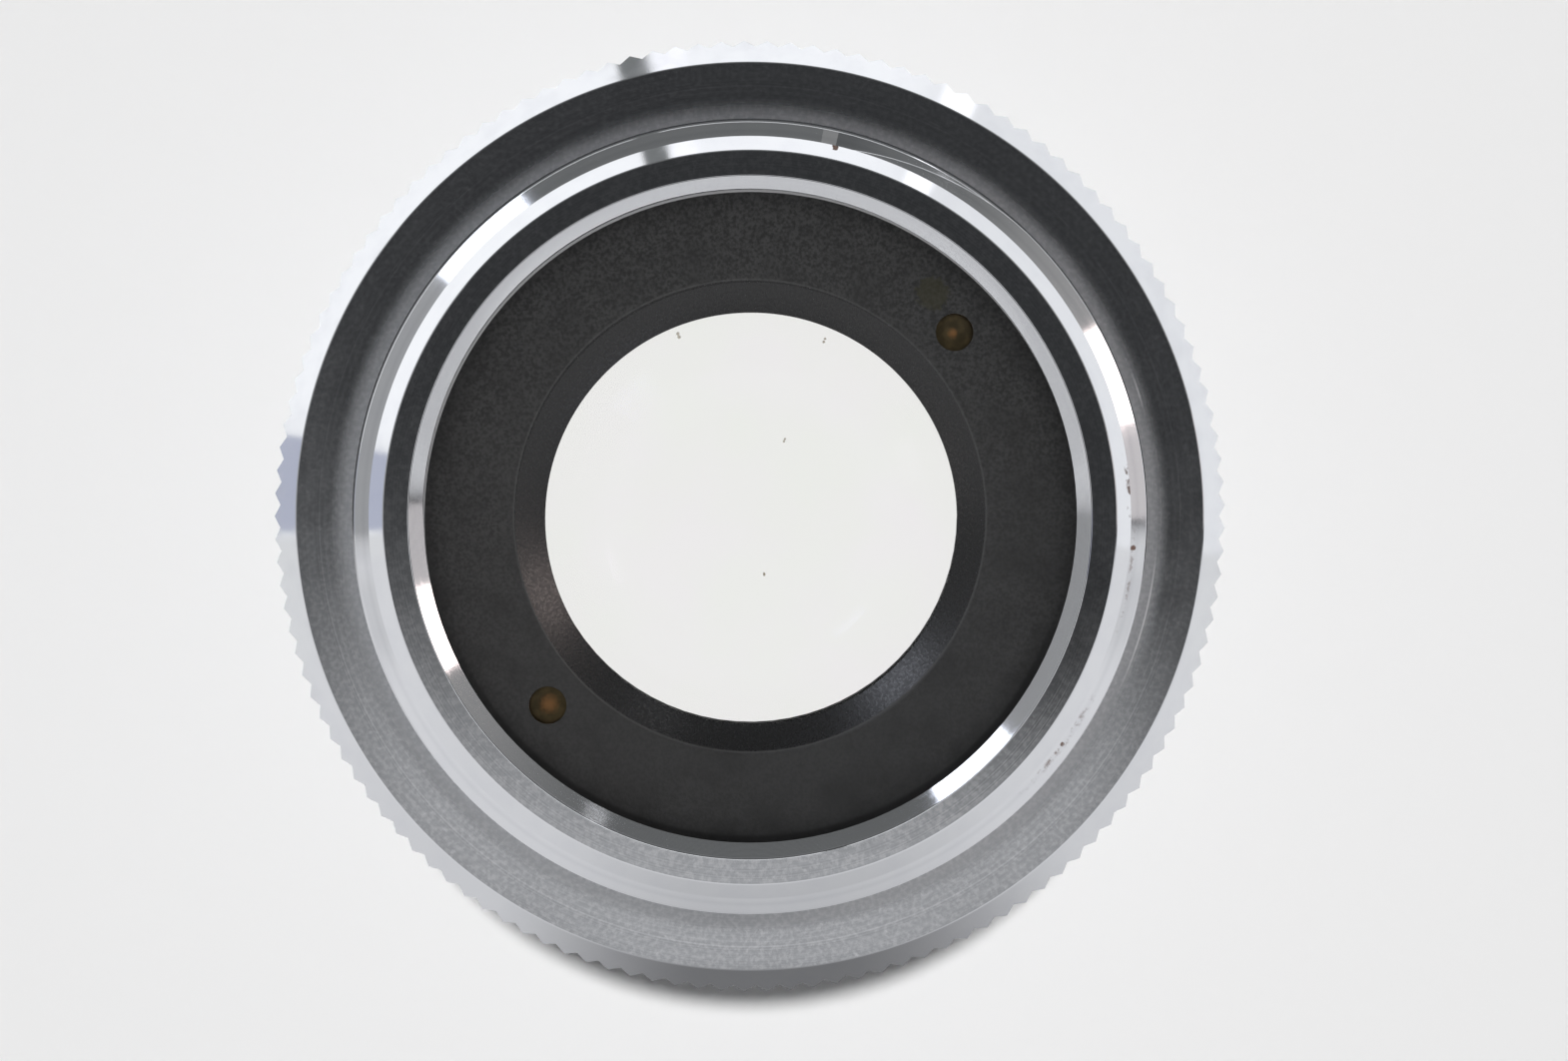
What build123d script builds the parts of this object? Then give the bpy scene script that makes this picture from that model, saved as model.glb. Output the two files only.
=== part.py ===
"""Low power microscope objective with a standard object thread.

The optical axis is Z. The mounting shoulder lies at z = 0, the object thread
points up and the nose points down. All sizes are in millimetres.
"""

from build123d import *
from math import radians, sqrt, tan
import os

# Object thread: 55 degree form, 0.8 inch by 36 turns per inch
thread_major_d = 20.32
thread_pitch = 25.4 / 36
thread_length = 4.8
thread_pilot = 0.5
thread_flank_angle = 27.5
thread_wall = 1.018
end_chamfer = 0.38
base_fillet = 0.3

# Knurled flange of the mount body
shoulder_width = 1.74
flange_thickness = 5.0
flange_chamfer = 0.6
knurl_count = 129
knurl_depth = 0.16
knurl_width = 0.4
knurl_relief_height = 0.35
knurl_relief_depth = 0.3

# Spigot below the flange, and the seat in the bore of the mount body
spigot_wall = 2.8
spigot_chamfer = 0.3
rear_bore_depth = 11.1
seat_width = 0.89

# Clearances between pieces that slide or screw into one another
thread_clearance = 0.08
slip_clearance = 0.05
glass_clearance = 0.03
ring_gap = 0.05

# Rear retaining ring with two spanner holes
ring_thickness = 2.2
ring_throat_lap = 0.5
ring_funnel_width = 0.79
ring_cone_height = 0.45
spanner_inset = 1.06
spanner_hole_d = 1.0
spanner_hole_depth = 1.0
spanner_angle = 42.5
drill_point_angle = 118.0

# Rear doublet: crown towards the thread, flint towards the nose
rear_front_radius = 24.0
rear_cement_radius = 18.5
rear_crown_edge = 1.238
rear_flint_thickness = 1.4

# Rear cell and the ring that holds the glass in it
cell_flange_thickness = 1.55
cell_wall = 1.72
cell_lip_height = 0.8
cell_lip_width = 0.6
rear_ring_rim = 0.7
rear_ring_lap = 0.38
rear_ring_thickness = 0.6
rear_ring_recess = 0.117

# Lens tube, its flange and the washers that set its height
shim_thickness = 0.15
shim_count = 2
shim_rim = 1.4
tube_top_gap = 0.15
tube_thread_length = 1.85
tube_flange_rim = 1.6
tube_flange_thickness = 1.2
tube_wall = 1.0
tube_length = 12.2
tube_stop_depth = 3.85
front_seat_width = 0.6
stop_seat_width = 0.6

# Aperture stop and its ring
stop_thickness = 0.4
stop_lap = 0.8
stop_ring_thickness = 1.0
stop_ring_width = 0.95

# Front doublet
front_glass_d = 10.0
front_crown_radius = 24.0
front_cement_radius = 18.5
front_crown_edge = 1.385
front_flint_thickness = 1.3

# Front cell, its spacer and the two rings in front of the glass
front_spacer_thickness = 0.2
front_spacer_width = 1.15
front_cell_wall = 0.87
front_lip_height = 1.2
front_lip_width = 0.3
front_ring_rim = 0.6
front_ring_lap = 0.35
front_ring_thickness = 0.65
front_ring_recess = 0.215
front_nut_thickness = 0.9
front_nut_step = 0.25
front_nut_recess = 0.1
front_nut_hole_inset = 0.8
front_nut_hole_d = 0.8
front_nut_hole_depth = 0.5

# Outer sleeve, ring of colour and nose cone
sleeve_wall = 1.05
sleeve_chamfer = 0.25
sleeve_step_gap = 0.4
band_width = 0.8
band_recess = 0.15
nose_flange_gap = 0.3
nose_spigot_rim = 0.5
nose_spigot_length = 3.2
nose_collar_length = 0.8
nose_taper_length = 3.7
nose_tip_wall = 1.3
nose_edge_chamfer = 0.5
nose_bore_gap = 0.3
nose_end_gap = 0.1
nose_wall = 1.2
nose_opening_step = 0.4
nose_opening_chamfer = 0.9

# Three grub screws that lock the sleeve on the spigot
screw_count = 3
screw_d = 1.6
screw_length = 1.5
screw_recess = 0.12
screw_drop = 3.5
screw_slot_width = 0.3
screw_slot_depth = 0.35
screw_start_angle = 12.0


def sag(curve_radius, height):
    """Depth of a spherical surface at a given height from the axis."""
    return curve_radius - sqrt(curve_radius**2 - height**2)


# Radii, from the thread inwards and then outwards
thread_r = thread_major_d / 2
thread_root_r = thread_r - 0.6403 * thread_pitch
flange_r = thread_r + shoulder_width + flange_chamfer
rear_bore_r = thread_root_r - thread_wall
tube_bore_r = rear_bore_r - seat_width
spigot_r = tube_bore_r + spigot_wall
sleeve_r = spigot_r + slip_clearance + sleeve_wall
rear_glass_r = tube_bore_r - slip_clearance - cell_wall - glass_clearance
rear_ring_outer_r = rear_glass_r + rear_ring_rim
rear_ring_inner_r = rear_glass_r - rear_ring_lap
ring_throat_r = rear_glass_r - ring_throat_lap
ring_mouth_r = ring_throat_r + ring_funnel_width
spanner_circle_r = ring_mouth_r + spanner_inset
front_glass_r = front_glass_d / 2
front_ring_outer_r = front_glass_r + front_ring_rim
front_ring_inner_r = front_glass_r - front_ring_lap
front_nut_inner_r = front_ring_inner_r + front_nut_step
front_cell_r = front_ring_outer_r + thread_clearance + front_cell_wall
front_bore_r = front_cell_r + slip_clearance
light_bore_r = front_bore_r - front_seat_width
stop_bore_r = light_bore_r + stop_seat_width
tube_r = front_bore_r + tube_wall
tube_flange_r = tube_bore_r + tube_flange_rim
nose_spigot_r = tube_flange_r + nose_spigot_rim
nose_bore_r = tube_r + nose_bore_gap
nose_tip_r = nose_bore_r + nose_tip_wall
nose_opening_r = front_nut_inner_r + nose_opening_step
screw_tip_r = sleeve_r - screw_recess - screw_length

# Heights, from the shoulder down to the nose
flank_height = (thread_r - thread_root_r) * tan(radians(thread_flank_angle))
seat_z = thread_length - rear_bore_depth
cell_top_z = seat_z + cell_flange_thickness
ring_top_z = cell_top_z + ring_thickness
rear_ring_z = cell_top_z - rear_ring_recess - rear_ring_thickness
rear_vertex_z = rear_ring_z + sag(rear_front_radius, rear_ring_inner_r)
rear_edge_z = rear_vertex_z - sag(rear_front_radius, rear_glass_r)
rear_cement_edge_z = rear_edge_z - rear_crown_edge
rear_cement_z = rear_cement_edge_z - sag(rear_cement_radius, rear_glass_r)
rear_seat_z = rear_cement_z - rear_flint_thickness
cell_end_z = rear_seat_z - cell_lip_height
tube_top_z = cell_end_z - tube_top_gap
stop_seat_z = tube_top_z - tube_stop_depth
spigot_end_z = tube_top_z - tube_thread_length
tube_flange_z = spigot_end_z - shim_count * shim_thickness
tube_flange_end_z = tube_flange_z - tube_flange_thickness
tube_end_z = tube_flange_end_z - tube_length
front_nut_z = tube_end_z + front_nut_recess
front_cell_end_z = front_nut_z + front_nut_thickness
front_face_z = front_cell_end_z + front_ring_recess + front_ring_thickness
front_cement_z = front_face_z + front_flint_thickness
front_cement_edge_z = front_cement_z + sag(front_cement_radius, front_glass_r)
front_edge_z = front_cement_edge_z + front_crown_edge
front_vertex_z = front_edge_z + sag(front_crown_radius, front_glass_r)
front_lip_z = front_vertex_z - sag(front_crown_radius, front_glass_r - front_lip_width)
front_cell_top_z = front_lip_z + front_lip_height
front_seat_z = front_cell_top_z + front_spacer_thickness
nose_top_z = tube_flange_end_z - nose_flange_gap
collar_z = nose_top_z - nose_spigot_length
sleeve_end_z = collar_z + band_width
taper_z = collar_z - nose_collar_length
tip_z = taper_z - nose_taper_length
nose_inner_z = tube_end_z - nose_end_gap
nose_end_z = nose_inner_z - nose_wall
screw_z = -flange_thickness - screw_drop

# Mount body: object thread, knurled flange and spigot in one turned piece
with BuildPart() as mount_body:
    with BuildSketch(Plane.XY.offset(-flange_thickness)):
        Circle(flange_r)
        with PolarLocations(flange_r, knurl_count):
            Polygon(
                (-knurl_depth, 0),
                (knurl_depth, -knurl_width),
                (knurl_depth, knurl_width),
                align=None,
                mode=Mode.SUBTRACT,
            )
    extrude(amount=flange_thickness)
    with BuildSketch(Plane.XZ):
        with BuildLine():
            Polyline(
                (0, 0),
                (flange_r - flange_chamfer, 0),
                (flange_r, -flange_chamfer),
                (flange_r, knurl_relief_height - flange_thickness),
                (flange_r - knurl_relief_depth, knurl_relief_height - flange_thickness),
                (flange_r - knurl_relief_depth, -flange_thickness),
                (0, -flange_thickness),
                close=True,
            )
        make_face()
    revolve(axis=Axis.Z, mode=Mode.INTERSECT)
    with BuildSketch(Plane.XZ):
        with BuildLine():
            crest_z = thread_length - end_chamfer - thread_pilot - flank_height
            Polyline(
                (0, -flange_thickness / 2),
                (thread_r, -flange_thickness / 2),
                (thread_r, crest_z),
                (thread_root_r, crest_z + flank_height),
                (thread_root_r, thread_length - end_chamfer),
                (thread_root_r - end_chamfer, thread_length),
                (0, thread_length),
                close=True,
            )
        make_face()
    revolve(axis=Axis.Z)
    with BuildSketch(Plane.XZ):
        with BuildLine():
            Polyline(
                (0, -flange_thickness / 2),
                (spigot_r, -flange_thickness / 2),
                (spigot_r, spigot_end_z + spigot_chamfer),
                (spigot_r - spigot_chamfer, spigot_end_z),
                (0, spigot_end_z),
                close=True,
            )
        make_face()
    revolve(axis=Axis.Z)
    at_shoulder = mount_body.edges().filter_by(GeomType.CIRCLE).filter_by_position(Axis.Z, -0.01, 0.01)
    fillet(at_shoulder.sort_by(SortBy.RADIUS)[0], radius=base_fillet)
    with Locations((0, 0, thread_length)):
        CounterBoreHole(
            radius=tube_bore_r,
            counter_bore_radius=rear_bore_r,
            counter_bore_depth=rear_bore_depth,
        )
    with Locations((0, 0, screw_z)):
        with PolarLocations(spigot_r, screw_count, start_angle=screw_start_angle):
            Cylinder(
                screw_d / 2 + slip_clearance,
                2 * (spigot_r - screw_tip_r),
                rotation=(0, 90, 0),
                mode=Mode.SUBTRACT,
            )
mount_body.part.label = "mount_body"

# Rear retaining ring: a funnel mouth and two blind spanner holes
with BuildPart() as rear_retaining_ring:
    with BuildSketch(Plane.XZ):
        with BuildLine():
            Polyline(
                (ring_mouth_r, ring_top_z),
                (rear_bore_r - thread_clearance, ring_top_z),
                (rear_bore_r - thread_clearance, cell_top_z),
                (ring_throat_r, cell_top_z),
                (ring_throat_r, ring_top_z - ring_cone_height),
                close=True,
            )
        make_face()
    revolve(axis=Axis.Z)
    with Locations(Plane.XY.offset(ring_top_z)):
        with PolarLocations(spanner_circle_r, 2, start_angle=spanner_angle):
            Cylinder(
                spanner_hole_d / 2,
                spanner_hole_depth,
                align=(Align.CENTER, Align.CENTER, Align.MAX),
                mode=Mode.SUBTRACT,
            )
    point_height = spanner_hole_d / 2 / tan(radians(drill_point_angle / 2))
    with Locations(Plane.XY.offset(ring_top_z - spanner_hole_depth)):
        with PolarLocations(spanner_circle_r, 2, start_angle=spanner_angle):
            Cone(
                bottom_radius=0,
                top_radius=spanner_hole_d / 2,
                height=point_height,
                align=(Align.CENTER, Align.CENTER, Align.MAX),
                mode=Mode.SUBTRACT,
            )
rear_retaining_ring.part.label = "rear_retaining_ring"

# Rear cell: flange on the ledge of the mount body, barrel in its bore
with BuildPart() as rear_cell:
    with BuildSketch(Plane.XZ):
        with BuildLine():
            Polyline(
                (rear_glass_r - cell_lip_width, cell_end_z),
                (tube_bore_r - slip_clearance, cell_end_z),
                (tube_bore_r - slip_clearance, seat_z),
                (rear_bore_r - slip_clearance, seat_z),
                (rear_bore_r - slip_clearance, cell_top_z),
                (rear_ring_outer_r + thread_clearance, cell_top_z),
                (rear_ring_outer_r + thread_clearance, rear_edge_z - ring_gap),
                (rear_glass_r + glass_clearance, rear_edge_z - ring_gap),
                (rear_glass_r + glass_clearance, rear_seat_z),
                (rear_glass_r - cell_lip_width, rear_seat_z),
                close=True,
            )
        make_face()
    revolve(axis=Axis.Z)
rear_cell.part.label = "rear_cell"

# Rear lens ring: bears on the crown at its inner edge
with BuildPart() as rear_lens_ring:
    with BuildSketch(Plane.XY.offset(rear_ring_z)):
        Circle(rear_ring_outer_r)
        Circle(rear_ring_inner_r, mode=Mode.SUBTRACT)
    extrude(amount=rear_ring_thickness)
rear_lens_ring.part.label = "rear_lens_ring"

# Rear crown: convex on both sides
with BuildPart() as rear_crown:
    with BuildSketch(Plane.XZ):
        with BuildLine():
            half = rear_glass_r / 2
            ThreePointArc(
                (0, rear_vertex_z),
                (half, rear_vertex_z - sag(rear_front_radius, half)),
                (rear_glass_r, rear_edge_z),
            )
            Line((rear_glass_r, rear_edge_z), (rear_glass_r, rear_cement_edge_z))
            ThreePointArc(
                (rear_glass_r, rear_cement_edge_z),
                (half, rear_cement_z + sag(rear_cement_radius, half)),
                (0, rear_cement_z),
            )
            Line((0, rear_cement_z), (0, rear_vertex_z))
        make_face()
    revolve(axis=Axis.Z)
rear_crown.part.label = "rear_crown"

# Rear flint: hollow side cemented to the crown, flat side on the lip of the cell
with BuildPart() as rear_flint:
    with BuildSketch(Plane.XZ):
        with BuildLine():
            half = rear_glass_r / 2
            ThreePointArc(
                (0, rear_cement_z),
                (half, rear_cement_z + sag(rear_cement_radius, half)),
                (rear_glass_r, rear_cement_edge_z),
            )
            Line((rear_glass_r, rear_cement_edge_z), (rear_glass_r, rear_seat_z))
            Line((rear_glass_r, rear_seat_z), (0, rear_seat_z))
            Line((0, rear_seat_z), (0, rear_cement_z))
        make_face()
    revolve(axis=Axis.Z)
rear_flint.part.label = "rear_flint"

# Parfocal shims: equal thin washers stacked between the spigot and the tube flange
with BuildPart() as shim:
    with BuildSketch(Plane.XY.offset(spigot_end_z - shim_thickness)):
        Circle(tube_bore_r + shim_rim)
        Circle(tube_bore_r + slip_clearance, mode=Mode.SUBTRACT)
    extrude(amount=shim_thickness)
parfocal_shims = Compound(
    label="parfocal_shims",
    children=[
        shim.part.solid().moved(Location((0, 0, -index * shim_thickness)))
        for index in range(shim_count)
    ],
)

# Lens tube: screwed part in the mount body, flange, stop bore and front bore
with BuildPart() as lens_tube:
    with BuildSketch(Plane.XZ):
        with BuildLine():
            Polyline(
                (stop_bore_r, tube_top_z),
                (tube_bore_r - slip_clearance, tube_top_z),
                (tube_bore_r - slip_clearance, tube_flange_z),
                (tube_flange_r, tube_flange_z),
                (tube_flange_r, tube_flange_end_z),
                (tube_r, tube_flange_end_z),
                (tube_r, tube_end_z),
                (front_bore_r, tube_end_z),
                (front_bore_r, front_seat_z),
                (light_bore_r, front_seat_z),
                (light_bore_r, stop_seat_z),
                (stop_bore_r, stop_seat_z),
                close=True,
            )
        make_face()
    revolve(axis=Axis.Z)
lens_tube.part.label = "lens_tube"

# Aperture stop: thin blackened disc on its ledge
with BuildPart() as aperture_stop:
    with BuildSketch(Plane.XY.offset(stop_seat_z)):
        Circle(stop_bore_r - slip_clearance)
        Circle(light_bore_r - stop_lap, mode=Mode.SUBTRACT)
    extrude(amount=stop_thickness)
aperture_stop.part.label = "aperture_stop"

# Stop ring: holds the stop down
with BuildPart() as stop_ring:
    with BuildSketch(Plane.XY.offset(stop_seat_z + stop_thickness)):
        Circle(stop_bore_r - slip_clearance)
        Circle(stop_bore_r - slip_clearance - stop_ring_width, mode=Mode.SUBTRACT)
    extrude(amount=stop_ring_thickness)
stop_ring.part.label = "stop_ring"

# Front spacer: washer that sets the gap between the two doublets
with BuildPart() as front_spacer:
    with BuildSketch(Plane.XY.offset(front_cell_top_z)):
        Circle(front_bore_r - slip_clearance)
        Circle(front_bore_r - slip_clearance - front_spacer_width, mode=Mode.SUBTRACT)
    extrude(amount=front_spacer_thickness)
front_spacer.part.label = "front_spacer"

# Front cell: the glass goes in from the nose and bears on the lip
with BuildPart() as front_cell:
    with BuildSketch(Plane.XZ):
        with BuildLine():
            Polyline(
                (front_glass_r - front_lip_width, front_cell_top_z),
                (front_cell_r, front_cell_top_z),
                (front_cell_r, front_cell_end_z),
                (front_ring_outer_r + thread_clearance, front_cell_end_z),
                (front_ring_outer_r + thread_clearance, front_face_z + ring_gap),
                (front_glass_r + glass_clearance, front_face_z + ring_gap),
                (front_glass_r + glass_clearance, front_lip_z),
                (front_glass_r - front_lip_width, front_lip_z),
                close=True,
            )
        make_face()
    revolve(axis=Axis.Z)
front_cell.part.label = "front_cell"

# Front crown: convex on both sides
with BuildPart() as front_crown:
    with BuildSketch(Plane.XZ):
        with BuildLine():
            half = front_glass_r / 2
            ThreePointArc(
                (0, front_vertex_z),
                (half, front_vertex_z - sag(front_crown_radius, half)),
                (front_glass_r, front_edge_z),
            )
            Line((front_glass_r, front_edge_z), (front_glass_r, front_cement_edge_z))
            ThreePointArc(
                (front_glass_r, front_cement_edge_z),
                (half, front_cement_z + sag(front_cement_radius, half)),
                (0, front_cement_z),
            )
            Line((0, front_cement_z), (0, front_vertex_z))
        make_face()
    revolve(axis=Axis.Z)
front_crown.part.label = "front_crown"

# Front flint: flat side towards the specimen
with BuildPart() as front_flint:
    with BuildSketch(Plane.XZ):
        with BuildLine():
            half = front_glass_r / 2
            ThreePointArc(
                (0, front_cement_z),
                (half, front_cement_z + sag(front_cement_radius, half)),
                (front_glass_r, front_cement_edge_z),
            )
            Line((front_glass_r, front_cement_edge_z), (front_glass_r, front_face_z))
            Line((front_glass_r, front_face_z), (0, front_face_z))
            Line((0, front_face_z), (0, front_cement_z))
        make_face()
    revolve(axis=Axis.Z)
front_flint.part.label = "front_flint"

# Front lens ring: holds the front doublet in its cell
with BuildPart() as front_lens_ring:
    with BuildSketch(Plane.XY.offset(front_face_z)):
        Circle(front_ring_outer_r)
        Circle(front_ring_inner_r, mode=Mode.SUBTRACT)
    extrude(amount=-front_ring_thickness)
front_lens_ring.part.label = "front_lens_ring"

# Front retaining ring: holds the front cell in the lens tube
with BuildPart() as front_retaining_ring:
    with BuildSketch(Plane.XY.offset(front_cell_end_z)):
        Circle(front_bore_r - thread_clearance)
        Circle(front_nut_inner_r, mode=Mode.SUBTRACT)
    extrude(amount=-front_nut_thickness)
    with BuildSketch(Plane.XY.offset(front_nut_z)):
        with PolarLocations(front_nut_inner_r + front_nut_hole_inset, 2):
            Circle(front_nut_hole_d / 2)
    extrude(amount=front_nut_hole_depth, mode=Mode.SUBTRACT)
front_retaining_ring.part.label = "front_retaining_ring"

# Outer sleeve: slips over the spigot up to the knurled flange
with BuildPart() as outer_sleeve:
    with BuildSketch(Plane.XZ):
        with BuildLine():
            sleeve_step_z = spigot_end_z - sleeve_step_gap
            Polyline(
                (spigot_r + slip_clearance, -flange_thickness),
                (sleeve_r - sleeve_chamfer, -flange_thickness),
                (sleeve_r, -flange_thickness - sleeve_chamfer),
                (sleeve_r, sleeve_end_z + sleeve_chamfer),
                (sleeve_r - sleeve_chamfer, sleeve_end_z),
                (nose_spigot_r + slip_clearance, sleeve_end_z),
                (nose_spigot_r + slip_clearance, sleeve_step_z),
                (spigot_r + slip_clearance, sleeve_step_z),
                close=True,
            )
        make_face()
    revolve(axis=Axis.Z)
    with Locations((0, 0, screw_z)):
        with PolarLocations(sleeve_r, screw_count, start_angle=screw_start_angle):
            Cylinder(
                screw_d / 2 + slip_clearance,
                4 * (sleeve_r - spigot_r),
                rotation=(0, 90, 0),
                mode=Mode.SUBTRACT,
            )
outer_sleeve.part.label = "outer_sleeve"

# Ring of colour clamped between the sleeve and the nose cone
with BuildPart() as colour_band:
    with BuildSketch(Plane.XY.offset(collar_z)):
        Circle(sleeve_r - band_recess)
        Circle(nose_spigot_r + slip_clearance, mode=Mode.SUBTRACT)
    extrude(amount=band_width)
colour_band.part.label = "colour_band"

# Nose cone: spigot in the sleeve, collar, taper and flat nose
with BuildPart() as nose_cone:
    with BuildSketch(Plane.XZ):
        with BuildLine():
            Polyline(
                (nose_bore_r, nose_top_z),
                (nose_spigot_r, nose_top_z),
                (nose_spigot_r, collar_z),
                (sleeve_r - sleeve_chamfer, collar_z),
                (sleeve_r, collar_z - sleeve_chamfer),
                (sleeve_r, taper_z),
                (nose_tip_r, tip_z),
                (nose_tip_r, nose_end_z + nose_edge_chamfer),
                (nose_tip_r - nose_edge_chamfer, nose_end_z),
                (nose_opening_r + nose_opening_chamfer, nose_end_z),
                (nose_opening_r, nose_end_z + nose_opening_chamfer),
                (nose_opening_r, nose_inner_z),
                (nose_bore_r, nose_inner_z),
                close=True,
            )
        make_face()
    revolve(axis=Axis.Z)
nose_cone.part.label = "nose_cone"

# Sleeve screws: slotted grub screws through the sleeve into the spigot
with BuildPart() as sleeve_screws:
    with Locations((0, 0, screw_z)):
        with PolarLocations(screw_tip_r, screw_count, start_angle=screw_start_angle):
            Cylinder(
                screw_d / 2,
                screw_length,
                rotation=(0, 90, 0),
                align=(Align.CENTER, Align.CENTER, Align.MIN),
            )
        with PolarLocations(screw_tip_r + screw_length, screw_count, start_angle=screw_start_angle):
            Box(2 * screw_slot_depth, 2 * screw_d, screw_slot_width, mode=Mode.SUBTRACT)
sleeve_screws.part.label = "sleeve_screws"

# One STEP file for each piece
os.makedirs("parts", exist_ok=True)
export_step(mount_body.part, "parts/mount_body.step")
export_step(rear_retaining_ring.part, "parts/rear_retaining_ring.step")
export_step(rear_cell.part, "parts/rear_cell.step")
export_step(rear_lens_ring.part, "parts/rear_lens_ring.step")
export_step(rear_crown.part, "parts/rear_crown.step")
export_step(rear_flint.part, "parts/rear_flint.step")
export_step(parfocal_shims, "parts/parfocal_shims.step")
export_step(lens_tube.part, "parts/lens_tube.step")
export_step(aperture_stop.part, "parts/aperture_stop.step")
export_step(stop_ring.part, "parts/stop_ring.step")
export_step(front_spacer.part, "parts/front_spacer.step")
export_step(front_cell.part, "parts/front_cell.step")
export_step(front_crown.part, "parts/front_crown.step")
export_step(front_flint.part, "parts/front_flint.step")
export_step(front_lens_ring.part, "parts/front_lens_ring.step")
export_step(front_retaining_ring.part, "parts/front_retaining_ring.step")
export_step(outer_sleeve.part, "parts/outer_sleeve.step")
export_step(colour_band.part, "parts/colour_band.step")
export_step(nose_cone.part, "parts/nose_cone.step")
export_step(sleeve_screws.part, "parts/sleeve_screws.step")
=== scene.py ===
"""Dressed model of a low power microscope objective.

The part stands on its nose with the object thread up, and the camera looks down the optical axis onto
the thread end. Sizes in the classes are in millimetres, heights are measured from the mounting
shoulder, and azimuths run anticlockwise from the right of the picture, in degrees.
"""

import logging
from dataclasses import dataclass
from enum import Enum
from functools import reduce
from math import atan2, cos, degrees, hypot, pi, radians, sin, sqrt, tan
from typing import Callable, Optional, Sequence, Union

import bpy
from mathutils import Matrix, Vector


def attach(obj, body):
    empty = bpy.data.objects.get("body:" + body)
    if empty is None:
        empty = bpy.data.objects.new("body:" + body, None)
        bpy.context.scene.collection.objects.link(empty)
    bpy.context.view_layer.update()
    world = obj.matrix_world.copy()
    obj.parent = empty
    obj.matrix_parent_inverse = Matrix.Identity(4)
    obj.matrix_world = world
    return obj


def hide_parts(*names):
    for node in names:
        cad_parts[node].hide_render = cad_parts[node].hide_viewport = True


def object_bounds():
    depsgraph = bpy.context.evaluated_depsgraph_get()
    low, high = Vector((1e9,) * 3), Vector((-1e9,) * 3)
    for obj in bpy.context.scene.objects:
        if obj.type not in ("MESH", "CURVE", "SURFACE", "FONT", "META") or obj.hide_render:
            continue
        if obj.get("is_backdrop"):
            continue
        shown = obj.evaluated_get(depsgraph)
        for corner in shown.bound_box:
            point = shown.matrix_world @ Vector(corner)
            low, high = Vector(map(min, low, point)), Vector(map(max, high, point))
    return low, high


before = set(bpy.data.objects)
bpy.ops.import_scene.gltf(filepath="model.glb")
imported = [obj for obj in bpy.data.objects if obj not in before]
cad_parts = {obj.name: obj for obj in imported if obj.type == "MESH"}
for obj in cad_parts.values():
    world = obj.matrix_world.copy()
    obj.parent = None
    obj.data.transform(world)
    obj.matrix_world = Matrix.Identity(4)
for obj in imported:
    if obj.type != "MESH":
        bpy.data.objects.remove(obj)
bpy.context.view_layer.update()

MM = 0.001
MERGE = 0.0005
NEAR = 0.01
LOG = logging.getLogger("objective")

Colour = tuple[float, float, float]
Point = tuple[float, float]
Socket = bpy.types.NodeSocket
Piece = bpy.types.Object
Material = bpy.types.Material
Value = Union[float, Colour, Socket]


class Slot(Enum):
    """Names of the record's material slots, passed along with the new pieces."""

    CHROME = "chrome_shell"
    BLACK = "black_paint"
    GLASS = "lens_glass"
    BAND = "band_colour"
    STEEL = "screw_steel"


class Pick(Enum):
    """Elements of a mesh that are picked in edit mode."""

    VERTEX = "VERT"
    EDGE = "EDGE"
    FACE = "FACE"


class Reach(Enum):
    """What a light falls on."""

    FLOOR = "INCLUDE"
    ALL_BUT_FLOOR = "EXCLUDE"


def at_azimuth(radius: float, azimuth: float) -> Point:
    """Give the place at a distance from the axis and an azimuth in degrees."""
    return radius * cos(radians(azimuth)), radius * sin(radians(azimuth))


# Marks on a surface


@dataclass(frozen=True)
class Spot:
    """Small round place, x to the right and y upwards in the picture."""

    x: float
    y: float
    size: float


@dataclass(frozen=True)
class Stretch:
    """Stretch of a ring between two radii and two azimuths, blurred in millimetres and faded in degrees."""

    inner: float
    outer: float
    start: float
    end: float
    blur: float
    fade: float
    strength: float = 1.0


# Node graphs


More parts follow.
